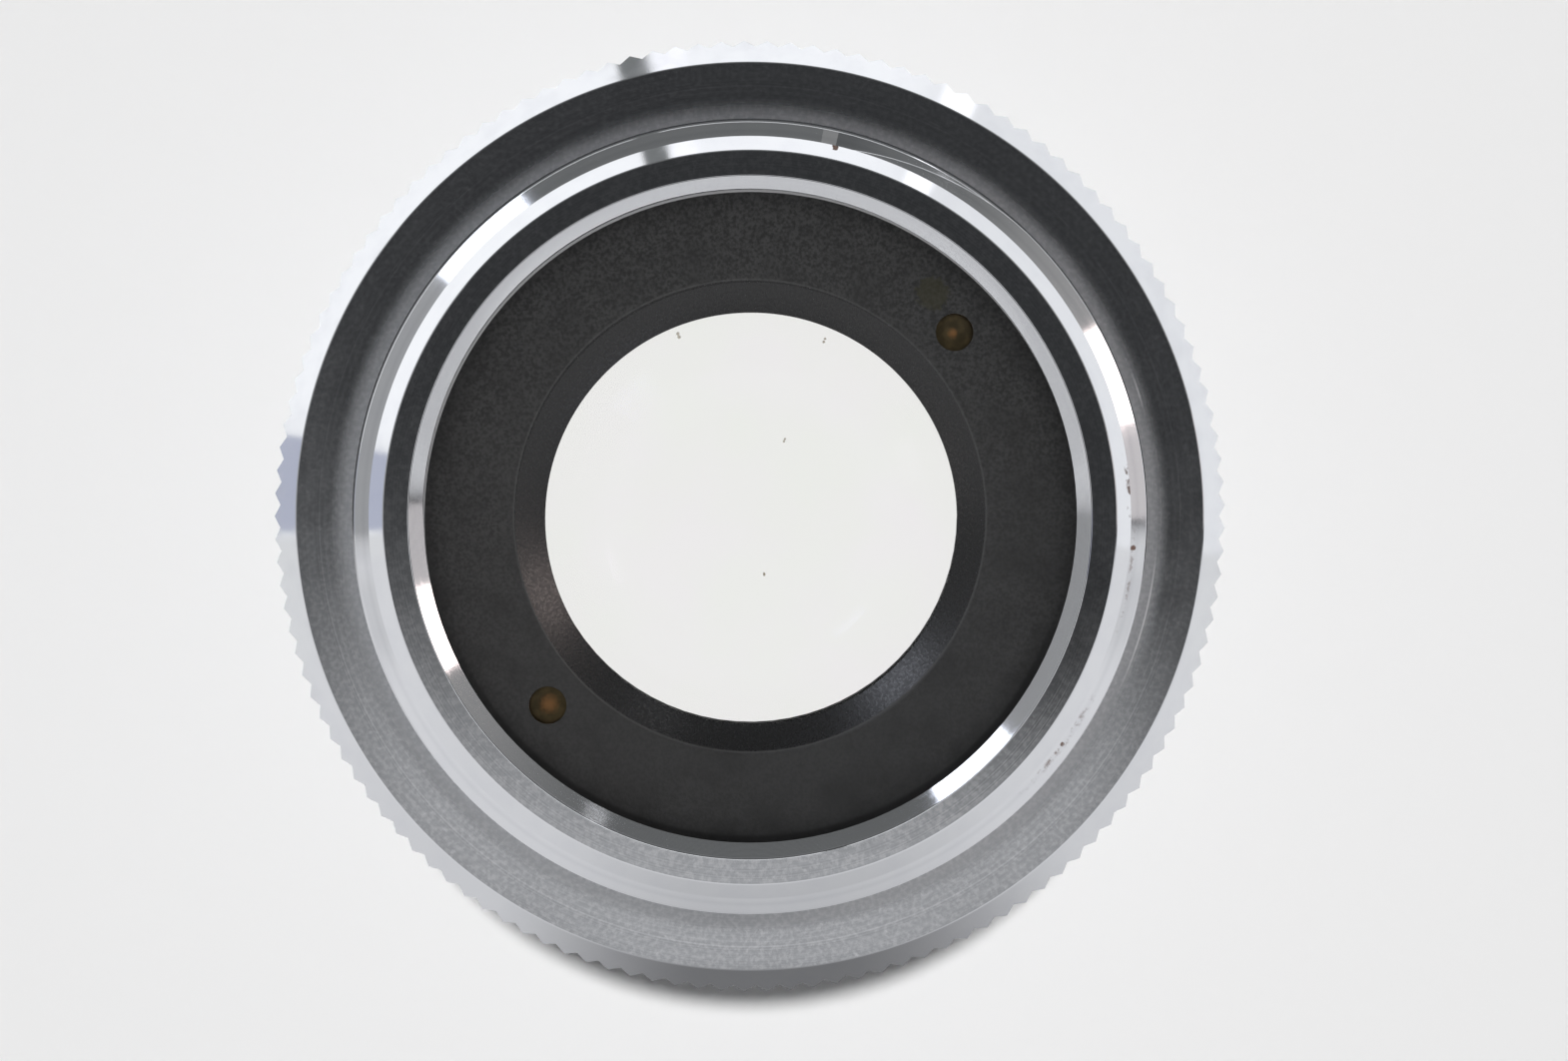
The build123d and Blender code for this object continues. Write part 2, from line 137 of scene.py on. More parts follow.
@dataclass
class Graph:
    """Node tree of a material or of the world, with short calls for its steps."""

    tree: bpy.types.NodeTree

    def add(self, kind: str, **options: object) -> bpy.types.Node:
        """Add a shader node and set its options.

        Args:
            kind: Type of the node, without its ShaderNode prefix.
            options: Options of the node by name.

        Returns:
            The new node.
        """
        node = self.tree.nodes.new("ShaderNode" + kind)
        for option, value in options.items():
            setattr(node, option, value)
        return node

    def feed(self, socket: Socket, value: Value) -> None:
        """Set a socket to a number or colour, or link it to another socket.

        Args:
            socket: Input that takes the value.
            value: Number, colour or output socket.
        """
        if isinstance(value, Socket):
            self.tree.links.new(value, socket)
        elif isinstance(value, tuple) and len(socket.default_value) == 4:
            socket.default_value = (*value, 1.0)
        else:
            socket.default_value = value

    def math(self, operation: str, *values: Value) -> Socket:
        """Add a Math node.

        Args:
            operation: Name of the operation.
            values: Its inputs in order.

        Returns:
            The result.
        """
        node = self.add("Math", operation=operation)
        for socket, value in zip(node.inputs, values):
            self.feed(socket, value)
        return node.outputs[0]

    def times(self, first: Value, second: Value) -> Socket:
        """Multiply two numbers."""
        return self.math("MULTIPLY", first, second)

    def strongest(self, *masks: Value) -> Socket:
        """Take the largest of several masks."""
        return reduce(lambda first, second: self.math("MAXIMUM", first, second), masks)

    def ramp(self, value: Value, start: float, end: float, low: Value = 0.0, high: Value = 1.0) -> Socket:
        """Step smoothly from one value to another.

        Args:
            value: Number that drives the step.
            start: Where the step begins.
            end: Where the step ends.
            low: Result before the step.
            high: Result after the step.

        Returns:
            The result.
        """
        node = self.add("MapRange", interpolation_type="SMOOTHSTEP")
        names = ("Value", "From Min", "From Max", "To Min", "To Max")
        for name, entry in zip(names, (value, start, end, low, high)):
            self.feed(node.inputs[name], entry)
        return node.outputs[0]

    def band(self, value: Value, start: float, end: float, soft: float) -> Socket:
        """Make a mask that is 1 between two values, with soft ends.

        Args:
            value: Number that is tested.
            start: Middle of the rising end.
            end: Middle of the falling end.
            soft: Half the width of each end.

        Returns:
            The mask.
        """
        rise = self.ramp(value, start - soft, start + soft)
        return self.times(rise, self.ramp(value, end - soft, end + soft, 1.0, 0.0))

    def mix(self, factor: Value, first: Value, second: Value) -> Socket:
        """Mix two colours.

        Args:
            factor: Share of the second colour.
            first: Colour at factor 0.
            second: Colour at factor 1.

        Returns:
            The mixed colour.
        """
        node = self.add("Mix", data_type="RGBA")
        self.feed(node.inputs[0], factor)
        self.feed(node.inputs[6], first)
        self.feed(node.inputs[7], second)
        return node.outputs[2]

    def cover(self, shade: Value, mask: Value, share: float, colour: Value) -> Socket:
        """Lay a thin coat of a colour over another where a mask is set.

        Args:
            shade: Colour underneath.
            mask: Where the coat lies, from 0 to 1.
            share: How much the coat hides.
            colour: Colour of the coat.

        Returns:
            The mixed colour.
        """
        return self.mix(self.times(mask, share), shade, colour)

    def noise(self, scale: float, detail: float) -> Socket:
        """Add a noise texture on the object's own coordinates.

        Args:
            scale: Cells per metre.
            detail: Number of finer layers.

        Returns:
            The noise, from 0 to 1.
        """
        node = self.add("TexNoise")
        self.feed(node.inputs["Vector"], self.place())
        self.feed(node.inputs["Scale"], scale)
        self.feed(node.inputs["Detail"], detail)
        return node.outputs["Fac"]

    def rings(self, radius: Socket, width: float) -> Socket:
        """Make the uneven concentric marks that a turning tool leaves.

        Args:
            radius: Distance from the axis in millimetres.
            width: Mean width of a mark in millimetres.

        Returns:
            The marks, from 0 to 1.
        """
        node = self.add("TexNoise", noise_dimensions="1D")
        self.feed(node.inputs["W"], self.math("DIVIDE", radius, width))
        self.feed(node.inputs["Scale"], 1.0)
        self.feed(node.inputs["Detail"], 3.0)
        return node.outputs["Fac"]

    def place(self) -> Socket:
        """Give the object's own coordinates."""
        return self.add("TexCoord").outputs["Object"]

    def split(self, vector: Socket) -> Sequence[Socket]:
        """Split a vector into its three parts.

        Args:
            vector: The vector.

        Returns:
            Its parts along X, Y and Z.
        """
        node = self.add("SeparateXYZ")
        self.feed(node.inputs[0], vector)
        return node.outputs

    def polar(self, vector: Optional[Socket] = None) -> tuple[Socket, Socket, Socket]:
        """Give the distance from the axis, the azimuth and the height.

        Args:
            vector: Coordinates, where they aren't the object's own.

        Returns:
            Distance in millimetres, azimuth in degrees from 0 to 360, and height in millimetres.
        """
        x, y, z = self.split(vector or self.place())
        squares = self.math("ADD", self.times(x, x), self.times(y, y))
        radius = self.math("DIVIDE", self.math("SQRT", squares), MM)
        turn = self.math("DEGREES", self.math("ARCTAN2", y, x))
        azimuth = self.math("ADD", turn, self.times(self.math("LESS_THAN", turn, 0.0), 360.0))
        return radius, azimuth, self.math("DIVIDE", z, MM)

    def distance(self, x: float, y: float) -> Socket:
        """Give the distance in millimetres from an upright line.

        Args:
            x: Where the line stands to the right, in millimetres.
            y: Where it stands upwards in the picture, in millimetres.

        Returns:
            The distance.
        """
        flat = self.add("VectorMath", operation="MULTIPLY")
        self.feed(flat.inputs[0], self.place())
        flat.inputs[1].default_value = (1, 1, 0)
        gap = self.add("VectorMath", operation="DISTANCE")
        self.feed(gap.inputs[0], flat.outputs[0])
        gap.inputs[1].default_value = (x * MM, y * MM, 0)
        return self.math("DIVIDE", gap.outputs["Value"], MM)

    def spot(self, spot: Spot, edge: float = 0.3) -> Socket:
        """Make a small round mask with an uneven outline.

        Args:
            spot: Place and radius of the mask.
            edge: Width of its soft outline as a share of the radius.

        Returns:
            The mask.
        """
        ragged = self.times(self.noise(9000.0, 2.0), spot.size)
        uneven = self.math("ADD", self.distance(spot.x, spot.y), ragged)
        outline = 1.45 * spot.size
        soft = edge / 2 * spot.size
        return self.ramp(uneven, outline - soft, outline + soft, 1.0, 0.0)

    def stretch(self, stretch: Stretch, radius: Socket, azimuth: Socket) -> Socket:
        """Make the mask of a stretch of a ring.

        Args:
            stretch: The stretch.
            radius: Distance from the axis in millimetres.
            azimuth: Azimuth in degrees.

        Returns:
            The mask.
        """
        ring = self.band(radius, stretch.inner, stretch.outer, stretch.blur)
        sector = self.band(azimuth, stretch.start, stretch.end, stretch.fade)
        return self.times(self.times(ring, sector), stretch.strength)

    def bump(self, height: Value, strength: float, depth: float) -> Socket:
        """Add a bump.

        Args:
            height: Height of the surface, from 0 to 1.
            strength: How strong the bump is.
            depth: Depth in millimetres.

        Returns:
            The bent normal.
        """
        node = self.add("Bump")
        self.feed(node.inputs["Height"], height)
        node.inputs["Strength"].default_value = strength
        node.inputs["Distance"].default_value = depth * MM
        return node.outputs["Normal"]


def new_surface(name: str) -> tuple[Material, Graph, bpy.types.Node]:
    """Start a material with one Principled shader.

    Args:
        name: Name of the material.

    Returns:
        The material, its graph and its shader.
    """
    material = bpy.data.materials.new(name)
    material.use_nodes = True
    return material, Graph(material.node_tree), material.node_tree.nodes["Principled BSDF"]


# Finishes


@dataclass(frozen=True)
class BrightChrome:
    """Polished plating of the thread, the chamfers, the knurl and the barrel."""

    name: str = "bright_chrome"
    colour: Colour = (0.66, 0.67, 0.69)
    streak: Colour = (0.62, 0.63, 0.66)
    flank_shade: Colour = (0.42, 0.43, 0.46)
    dirt: Colour = (0.17, 0.11, 0.09)
    gloss: float = 0.06
    wear: float = 0.035
    dirt_roughness: float = 0.6
    flank_shade_ring: Point = (9.88, 9.96)
    grime_heights: Point = (3.55, 4.6)
    grime_at: tuple[Stretch, ...] = (
        Stretch(9.62, 9.73, 0.0, 9.0, 0.04, 4.0),
        Stretch(9.80, 9.88, 345.0, 358.0, 0.04, 4.0, 0.55),
        Stretch(9.86, 10.0, 317.0, 330.0, 0.04, 4.0, 0.9),
    )
    specks: tuple[Spot, ...] = (
        Spot(*at_azimuth(9.66, 77.0), 0.09),
        Spot(*at_azimuth(9.95, 199.6), 0.045),
        Spot(*at_azimuth(9.90, 324.0), 0.06),
        Spot(*at_azimuth(9.84, 355.5), 0.07),
    )

    def build(self) -> Material:
        """Make the material.

        Returns:
            The material.
        """
        material, graph, shader = new_surface(self.name)
        radius, azimuth, height = graph.polar()
        streaks = graph.noise(1500.0, 3.0)
        grime = self.grime(graph, radius, azimuth, height)
        shade = graph.mix(graph.ramp(streaks, 0.35, 0.75, 0.0, 0.5), self.colour, self.streak)
        # painted shade: a darker band of colour across the flank of the thread, where the flank lies in shade
        shade = graph.cover(shade, graph.band(radius, *self.flank_shade_ring, 0.07), 0.2, self.flank_shade)
        graph.feed(shader.inputs["Base Color"], graph.mix(grime, shade, self.dirt))
        worn = graph.ramp(streaks, 0.45, 0.75, self.gloss, self.gloss + self.wear)
        rough = graph.strongest(worn, graph.times(grime, self.dirt_roughness))
        graph.feed(shader.inputs["Roughness"], rough)
        graph.feed(shader.inputs["Metallic"], graph.math("SUBTRACT", 1.0, grime))
        graph.feed(shader.inputs["Normal"], graph.bump(graph.noise(26000.0, 2.0), 0.05, 0.004))
        return material

    def grime(self, graph: Graph, radius: Socket, azimuth: Socket, height: Socket) -> Socket:
        """Mask the grime in the corners of the thread near its end.

        Args:
            graph: Graph of the material.
            radius: Distance from the axis in millimetres.
            azimuth: Azimuth in degrees.
            height: Height in millimetres.

        Returns:
            The mask.
        """
        corners = graph.strongest(*(graph.stretch(stretch, radius, azimuth) for stretch in self.grime_at))
        flecks = graph.ramp(graph.noise(5200.0, 3.0), 0.46, 0.68)
        specks = (graph.spot(speck) for speck in self.specks)
        grime = graph.strongest(graph.times(corners, flecks), *specks)
        return graph.times(grime, graph.band(height, *self.grime_heights, 0.05))


@dataclass(frozen=True)
class TurnedChrome:
    """Plating over turning marks, on the end face and the shoulder.

    The shoulder is dull in the corner of the thread, with a painted sheen there, a thin painted highlight on
    a small step and a faint circle that a nosepiece has rubbed.
    """

    name: str = "turned_chrome"
    colour: Colour = (0.39, 0.40, 0.415)
    groove: Colour = (0.34, 0.35, 0.36)
    corner_sheen: Colour = (0.80, 0.80, 0.82)
    worn: Colour = (0.86, 0.86, 0.88)
    edge_highlight: Colour = (0.90, 0.90, 0.91)
    mark_width: float = 0.035
    broad_width: float = 0.16
    end_roughness: float = 0.10
    roughness: float = 0.145
    corner_roughness: float = 0.48
    highlight_roughness: float = 0.5
    corner: Point = (10.45, 11.05)
    sheen_corner: Point = (10.5, 11.0)
    shoulder_to_end: Point = (2.0, 4.0)
    worn_ring: Point = (11.26, 11.30)
    # painted highlight lines on a small step near the corner of the thread
    highlight_at: tuple[Stretch, ...] = (
        Stretch(10.67, 10.71, 338.0, 353.0, 0.02, 5.0),
        Stretch(10.67, 10.71, 16.0, 20.0, 0.02, 2.0),
    )

    def build(self) -> Material:
        """Make the material.

        Returns:
            The material.
        """
        material, graph, shader = new_surface(self.name)
        radius, azimuth, height = graph.polar()
        marks = graph.rings(radius, self.mark_width)
        highlight_mask = graph.strongest(*(graph.stretch(stretch, radius, azimuth) for stretch in self.highlight_at))
        shade = graph.mix(graph.ramp(marks, 0.3, 0.7), self.colour, self.groove)
        layers = (
            (graph.rings(radius, self.broad_width), 0.50, 0.70, 0.10, (0.60, 0.61, 0.62)),
            (graph.noise(5200.0, 5.0), 0.60, 0.72, 0.35, (0.62, 0.62, 0.64)),
            (graph.noise(8000.0, 4.0), 0.40, 0.66, 0.30, (0.66, 0.66, 0.67)),
        )
        for texture, start, end, share, colour in layers:
            shade = graph.mix(graph.ramp(texture, start, end, 0.0, share), shade, colour)
        # painted highlight: a thin pale line on a small step near the corner, where the step catches light;
        # it is also rougher
        shade = graph.cover(shade, highlight_mask, 0.8, self.edge_highlight)
        # painted sheen: the base colour is paler in the corner of the thread, so that the corner reflects
        # more light
        on_shoulder = graph.ramp(height, *self.shoulder_to_end, 1.0, 0.0)
        in_corner = graph.ramp(radius, *self.sheen_corner, 0.15, 0.0)
        shade = graph.mix(graph.times(in_corner, on_shoulder), shade, self.corner_sheen)
        shade = graph.cover(shade, graph.band(radius, *self.worn_ring, 0.015), 0.12, self.worn)
        graph.feed(shader.inputs["Base Color"], shade)
        shader.inputs["Metallic"].default_value = 1.0
        rough = graph.ramp(radius, *self.corner, self.corner_roughness, self.roughness)
        rough = graph.strongest(rough, graph.times(highlight_mask, self.highlight_roughness))
        rough = graph.ramp(height, *self.shoulder_to_end, rough, self.end_roughness)
        cloud = graph.ramp(graph.noise(1100.0, 4.0), 0.3, 0.7, -0.01, 0.015)
        graph.feed(shader.inputs["Roughness"], graph.math("ADD", rough, cloud))
        graph.feed(shader.inputs["Normal"], graph.bump(marks, 0.10, 0.004))
        return material


@dataclass(frozen=True)
class BlackPaint:
    """Matt black lacquer with a fine grain, and painted light that makes it paler towards the bottom of the
    picture.
    """

    name: str = "black_paint"
    colour: Colour = (0.0285, 0.0285, 0.0285)
    roughness: float = 0.56

    def build(self) -> Material:
        """Make the material.

        Returns:
            The material.
        """
        material, graph, shader = new_surface(self.name)
        radius, azimuth, _ = graph.polar()
        grain = graph.noise(12000.0, 4.0)
        shade = graph.mix(graph.ramp(grain, 0.33, 0.68), self.tone(0.6), self.tone(1.8))
        # painted light: the lacquer is paler towards the bottom of the picture, as if lit from the white
        # table on that side
        upwards = graph.times(graph.math("SINE", graph.math("RADIANS", azimuth)), radius)
        shade = graph.mix(graph.ramp(upwards, -8.0, 8.0, 0.6, 0.0), shade, self.tone(1.75))
        cloud = graph.ramp(graph.noise(900.0, 3.0), 0.4, 0.75, 0.0, 0.4)
        shade = graph.mix(cloud, shade, self.tone(0.75))
        shade, gloss = self.wear(graph, shade, radius, azimuth)
        graph.feed(shader.inputs["Base Color"], shade)
        rough = graph.ramp(grain, 0.3, 0.7, self.roughness - 0.08, self.roughness + 0.10)
        graph.feed(shader.inputs["Roughness"], graph.times(rough, gloss))
        graph.feed(shader.inputs["Normal"], graph.bump(grain, 0.35, 0.012))
        return material

    def tone(self, share: float) -> Colour:
        """Give a darker or paler tone of the lacquer."""
        return tuple(part * share for part in self.colour)

    def wear(self, graph: Graph, shade: Socket, radius: Socket, azimuth: Socket) -> tuple[Value, Value]:
        """Leave the lacquer whole."""
        return shade, 1.0


@dataclass(frozen=True)
class RingPaint(BlackPaint):
    """Lacquer of the rear ring, tarnished at its spanner holes and smoother inside its mouth, with painted
    shade on its lower rim and painted highlights on its lip and on the edge of its mouth.
    """

    name: str = "ring_paint"
    smear: Colour = (0.035, 0.033, 0.013)
    rim_shade: Colour = (0.008, 0.008, 0.008)
    lip_highlight: Colour = (0.58, 0.58, 0.59)
    funnel: Colour = (0.013, 0.013, 0.0135)
    edge_highlight: Colour = (0.12, 0.12, 0.12)
    worn_at: tuple[Spot, ...] = (Spot(4.87, 5.93, 0.45), Spot(5.45, 4.89, 0.42), Spot(-5.39, -5.04, 0.42))
    mouth: float = 6.29
    shaded_rim: float = 8.58
    shaded_sector: Point = (208.0, 338.0)
    lip_highlight_from: float = 8.70
    drop: Point = (0.0, 0.0)

    def wear(self, graph: Graph, shade: Socket, radius: Socket, azimuth: Socket) -> tuple[Value, Value]:
        """Add the smears, the painted shade on the lower rim, the painted highlights on the lip and on the
        mouth edge, and the funnel.

        Args:
            graph: Graph of the material.
            shade: Colour of the whole lacquer.
            radius: Distance from the axis in millimetres.
            azimuth: Azimuth in degrees.

        Returns:
            The worn colour, and a factor for the roughness.
        """
        for spot in self.worn_at:
            shade = graph.cover(shade, graph.spot(spot), 0.5, self.smear)
        # painted shade: the outer rim of the ring is darker in the lower part of the picture, where the bore
        # wall shades it
        rim = graph.ramp(radius, self.shaded_rim - 0.12, self.shaded_rim)
        rim_shade_mask = graph.times(rim, graph.band(azimuth, *self.shaded_sector, 14.0))
        shade = graph.cover(shade, rim_shade_mask, 0.6, self.rim_shade)
        # painted highlight: the outer edge of the lip is pale grey, standing in for the lit bore wall over
        # the dark gap round the ring
        outside = graph.ramp(graph.distance(*self.drop), self.lip_highlight_from - 0.01, self.lip_highlight_from + 0.01)
        shade = graph.mix(outside, shade, self.lip_highlight)
        inside = graph.ramp(radius, self.mouth - 0.03, self.mouth + 0.01, 1.0, 0.0)
        shade = graph.mix(inside, shade, self.funnel)
        # painted highlight: a thin paler line on the edge of the mouth, where the edge catches light
        edge = graph.band(radius, self.mouth - 0.02, self.mouth + 0.03, 0.02)
        return graph.cover(shade, edge, 0.3, self.edge_highlight), graph.ramp(inside, 0.0, 1.0, 1.0, 0.5)


@dataclass(frozen=True)
class TarnishedBrass:
    """Brass with brown tarnish, in the spanner holes and on the thin washers, with a painted orange glint in
    the middle of each spanner hole.
    """

    name: str = "tarnished_brass"
    colour: Colour = (0.092, 0.070, 0.036)
    dark: Colour = (0.054, 0.043, 0.024)
    glint: Colour = (0.27, 0.135, 0.055)
    metallic: float = 0.3
    roughness: float = 0.42
    highlight_at: tuple[Spot, ...] = (Spot(5.44, 4.90, 0.11), Spot(-5.39, -5.04, 0.20))

    def build(self) -> Material:
        """Make the material.

        Returns:
            The material.
        """
        material, graph, shader = new_surface(self.name)
        cloud = graph.noise(2600.0, 4.0)
        shade = graph.mix(graph.ramp(cloud, 0.35, 0.65), self.colour, self.dark)
        # painted glint: an orange patch in the middle of each spanner hole, where the drill point catches
        # light
        for spot in self.highlight_at:
            shade = graph.cover(shade, graph.spot(spot, edge=1.5), 0.8, self.glint)
        graph.feed(shader.inputs["Base Color"], shade)
        shader.inputs["Metallic"].default_value = self.metallic
        rough = graph.ramp(cloud, 0.3, 0.7, self.roughness, self.roughness + 0.2)
        graph.feed(shader.inputs["Roughness"], rough)
        graph.feed(shader.inputs["Normal"], graph.bump(graph.noise(14000.0, 2.0), 0.3, 0.01))
        return material


@dataclass(frozen=True)
class CoatedGlass:
    """Clear coated glass, with or without specks of dust."""

    name: str = "coated_glass"
    tint: Colour = (0.985, 0.995, 0.975)
    cloudy: Colour = (0.99, 0.99, 0.985)
    dust: Colour = (0.25, 0.22, 0.17)
    coating: Colour = (0.08, 0.08, 0.12)
    ior: float = 1.5
    specks: tuple[Spot, ...] = ()

    def build(self) -> Material:
        """Make the material.

        Returns:
            The material.
        """
        material, graph, shader = new_surface(self.name)
        shade = graph.mix(graph.ramp(graph.noise(400.0, 2.0), 0.3, 0.7), self.tint, self.cloudy)
        for speck in self.specks:
            shade = graph.mix(graph.spot(speck), shade, self.dust)
        graph.feed(shader.inputs["Base Color"], shade)
        shader.inputs["Transmission Weight"].default_value = 1.0
        shader.inputs["Roughness"].default_value = 0.0
        shader.inputs["IOR"].default_value = self.ior
        shader.inputs["Specular Tint"].default_value = (*self.coating, 1.0)
        return material


@dataclass(frozen=True)
class BandEnamel:
    """Red enamel of the ring of colour."""

    name: str = "band_enamel"
    colour: Colour = (0.52, 0.035, 0.03)
    dark: Colour = (0.42, 0.025, 0.025)
    coat: float = 0.4
    coat_roughness: float = 0.1

    def build(self) -> Material:
        """Make the material.

        Returns:
            The material.
        """
        material, graph, shader = new_surface(self.name)
        cloud = graph.noise(1200.0, 3.0)
        graph.feed(shader.inputs["Base Color"], graph.mix(cloud, self.colour, self.dark))
        graph.feed(shader.inputs["Roughness"], graph.ramp(cloud, 0.3, 0.7, 0.22, 0.34))
        graph.feed(shader.inputs["Normal"], graph.bump(graph.noise(5000.0, 2.0), 0.08, 0.01))
        shader.inputs["Coat Weight"].default_value = self.coat
        shader.inputs["Coat Roughness"].default_value = self.coat_roughness
        return material


@dataclass(frozen=True)
class ScrewSteel:
    """Blued steel of the grub screws."""

    name: str = "screw_steel"
    colour: Colour = (0.20, 0.20, 0.22)
    pale: Colour = (0.32, 0.31, 0.30)

    def build(self) -> Material:
        """Make the material.

        Returns:
            The material.
        """
        material, graph, shader = new_surface(self.name)
        cloud = graph.noise(6000.0, 3.0)
        graph.feed(shader.inputs["Base Color"], graph.mix(cloud, self.colour, self.pale))
        shader.inputs["Metallic"].default_value = 1.0
        graph.feed(shader.inputs["Roughness"], graph.ramp(cloud, 0.3, 0.7, 0.28, 0.45))
        graph.feed(shader.inputs["Normal"], graph.bump(cloud, 0.2, 0.01))
        return material


# Modelling


def clear_selection() -> None:
    """Deselect every object."""
    bpy.ops.object.select_all(action="DESELECT")


def activate(piece: Piece) -> None:
    """Select one piece alone.

    Args:
        piece: Piece to work on.
    """
    clear_selection()
    bpy.context.view_layer.objects.active = piece
    piece.select_set(True)


def new_piece(name: str) -> Piece:
    """Name the primitive that was just added.

    Args:
        name: Name of the piece.

    Returns:
        The piece.
    """
    piece = bpy.context.object
    piece.name = piece.data.name = name
    return piece


def open_edit(pick: Pick) -> None:
    """Open the active piece for editing.

    Args:
        pick: Elements to pick.
    """
    bpy.ops.object.mode_set(mode="EDIT")
    bpy.ops.mesh.select_mode(type=pick.value)


def edit(piece: Piece, pick: Pick = Pick.VERTEX) -> None:
    """Open a piece for editing with nothing selected.

    Args:
        piece: Piece to edit.
        pick: Elements to pick.
    """
    activate(piece)
    open_edit(pick)
    bpy.ops.mesh.select_all(action="DESELECT")


def close_edit() -> None:
    """Go back to object mode."""
    bpy.ops.object.mode_set(mode="OBJECT")


def pick_vertices(piece: Piece, test: Callable[[Vector], bool]) -> None:
    """Open a piece for editing with the vertices selected that pass a test of their place.

    Args:
        piece: Piece to edit.
        test: Test of a vertex's place in metres.
    """
    edit(piece)
    close_edit()
    for vertex in piece.data.vertices:
        vertex.select = test(vertex.co)
    bpy.ops.object.mode_set(mode="EDIT")


def near(length: float, size: float, tolerance: float = NEAR) -> bool:
    """Say whether a length in metres is a size in millimetres, within a tolerance in millimetres."""
    return abs(length - size * MM) < tolerance * MM


def paint_faces(piece: Piece, material: Material, test: Callable[[Vector, Vector], bool]) -> None:
    """Give a material to the faces that pass a test.

    Args:
        piece: Piece to paint.
        material: Material for those faces.
        test: Test of a face's middle in metres and its normal.
    """
    piece.data.materials.append(material)
    edit(piece, Pick.FACE)
    close_edit()
    for face in piece.data.polygons:
        face.select = test(face.center, face.normal)
    piece.active_material_index = len(piece.data.materials) - 1
    bpy.ops.object.mode_set(mode="EDIT")
    bpy.ops.object.material_slot_assign()
    close_edit()


def apply_modifier(piece: Piece, kind: str, **options: object) -> None:
    """Add a modifier, set it and apply it.

    Args:
        piece: Piece to change.
        kind: Type of the modifier.
        options: Options of the modifier by name.
    """
    activate(piece)
    bpy.ops.object.modifier_add(type=kind)
    modifier = piece.modifiers[-1]
    for option, value in options.items():
        setattr(modifier, option, value)
    bpy.ops.object.modifier_apply(modifier=modifier.name)


def break_edges(piece: Piece, width: float, steps: int, angle: float) -> None:
    """Round the sharp edges of a piece.

    Args:
        piece: Piece to change.
        width: Width of the rounding in millimetres.
        steps: Number of faces across it.
        angle: Smallest angle in degrees that counts as sharp.
    """
    limit = radians(angle)
    apply_modifier(piece, "BEVEL", width=width * MM, segments=steps, limit_method="ANGLE", angle_limit=limit)


def smooth(piece: Piece, angle: float = 12.0) -> None:
    """Shade a piece smooth, apart from its sharp edges.

    Args:
        piece: Piece to shade.
        angle: Largest angle in degrees that is shaded smooth.
    """
    activate(piece)
    bpy.ops.object.shade_smooth_by_angle(angle=radians(angle))


def turn_profile(name: str, profile: Sequence[Point], segments: int, turn: float = 0.0) -> Piece:
    """Turn an open profile round the axis, as on a lathe.

    Args:
        name: Name of the piece.
        profile: Radius and height of each corner in millimetres, in order.
        segments: Steps round the axis.
        turn: Azimuth of the first step in degrees.

    Returns:
        The piece, open at the two ends of the profile, in edit mode with its last loop selected.
    """
    clear_selection()
    radius, height = profile[0]
    bpy.ops.mesh.primitive_circle_add(vertices=segments, radius=radius * MM, rotation=(0, 0, radians(turn)))
    piece = new_piece(name)
    bpy.ops.object.transform_apply(rotation=True)
    open_edit(Pick.EDGE)
    bpy.ops.mesh.select_all(action="SELECT")
    bpy.ops.transform.translate(value=(0, 0, height * MM))
    for next_radius, next_height in profile[1:]:
        rise = (next_height - height) * MM
        bpy.ops.mesh.extrude_edges_move(TRANSFORM_OT_translate={"value": (0, 0, rise)})
        scale = next_radius / radius
        bpy.ops.transform.resize(value=(scale, scale, 1), center_override=(0, 0, 0))
        radius, height = next_radius, next_height
    return piece


def weld() -> None:
    """Merge doubles and turn the faces outwards on the piece that is open for editing."""
    bpy.ops.mesh.select_all(action="SELECT")
    bpy.ops.mesh.remove_doubles(threshold=MERGE * MM)
    bpy.ops.mesh.normals_make_consistent(inside=False)


def turned(
    name: str, profile: Sequence[Point], segments: int = 256, edge: float = 0.03, turn: float = 0.0
) -> Piece:
    """Make a turned ring with broken edges.

    Args:
        name: Name of the piece.
        profile: Radius and height of each corner of its section in millimetres.
        segments: Steps round the axis.
        edge: Width of the broken edges in millimetres, or 0 for none.
        turn: Azimuth of the first step in degrees.

    Returns:
        The piece.
    """
    piece = turn_profile(name, [*profile, profile[0]], segments, turn)
    weld()
    close_edit()
    if edge:
        break_edges(piece, edge, 2, 20.0)
    smooth(piece)
    return piece


def draw_to_point(rise: float) -> None:
    """Draw the selected loop together into one point on the axis.

    Args:
        rise: Height of the point over the loop in millimetres.
    """
    bpy.ops.mesh.extrude_edges_move(TRANSFORM_OT_translate={"value": (0, 0, rise * MM)})
    bpy.ops.mesh.merge(type="CENTER")


def ground(name: str, profile: Sequence[Point], segments: int = 160) -> Piece:
    """Make a solid of glass whose profile starts and ends on the axis.

    Args:
        name: Name of the piece.
        profile: Radius and height along the section in millimetres; its ends have radius 0.
        segments: Steps round the axis.

    Returns:
        The piece.
    """
    piece = turn_profile(name, profile[1:-1], segments)
    draw_to_point(profile[-1][1] - profile[-2][1])
    close_edit()
    radius, height = profile[1]
    pick_vertices(piece, lambda co: hypot(co.x, co.y) < (radius + MERGE) * MM and near(co.z, height, MERGE))
    draw_to_point(profile[0][1] - height)
    weld()
    close_edit()
    smooth(piece, 25.0)
    return piece


def cut(piece: Piece, cutter: Piece) -> None:
    """Cut one piece out of another, which takes the cutter's material in the cut.

    Args:
        piece: Piece that is cut.
        cutter: Shape of the cut, which is removed.
    """
    apply_modifier(
        piece, "BOOLEAN", operation="DIFFERENCE", solver="EXACT", object=cutter, material_mode="TRANSFER"
    )
    bpy.data.objects.remove(cutter)


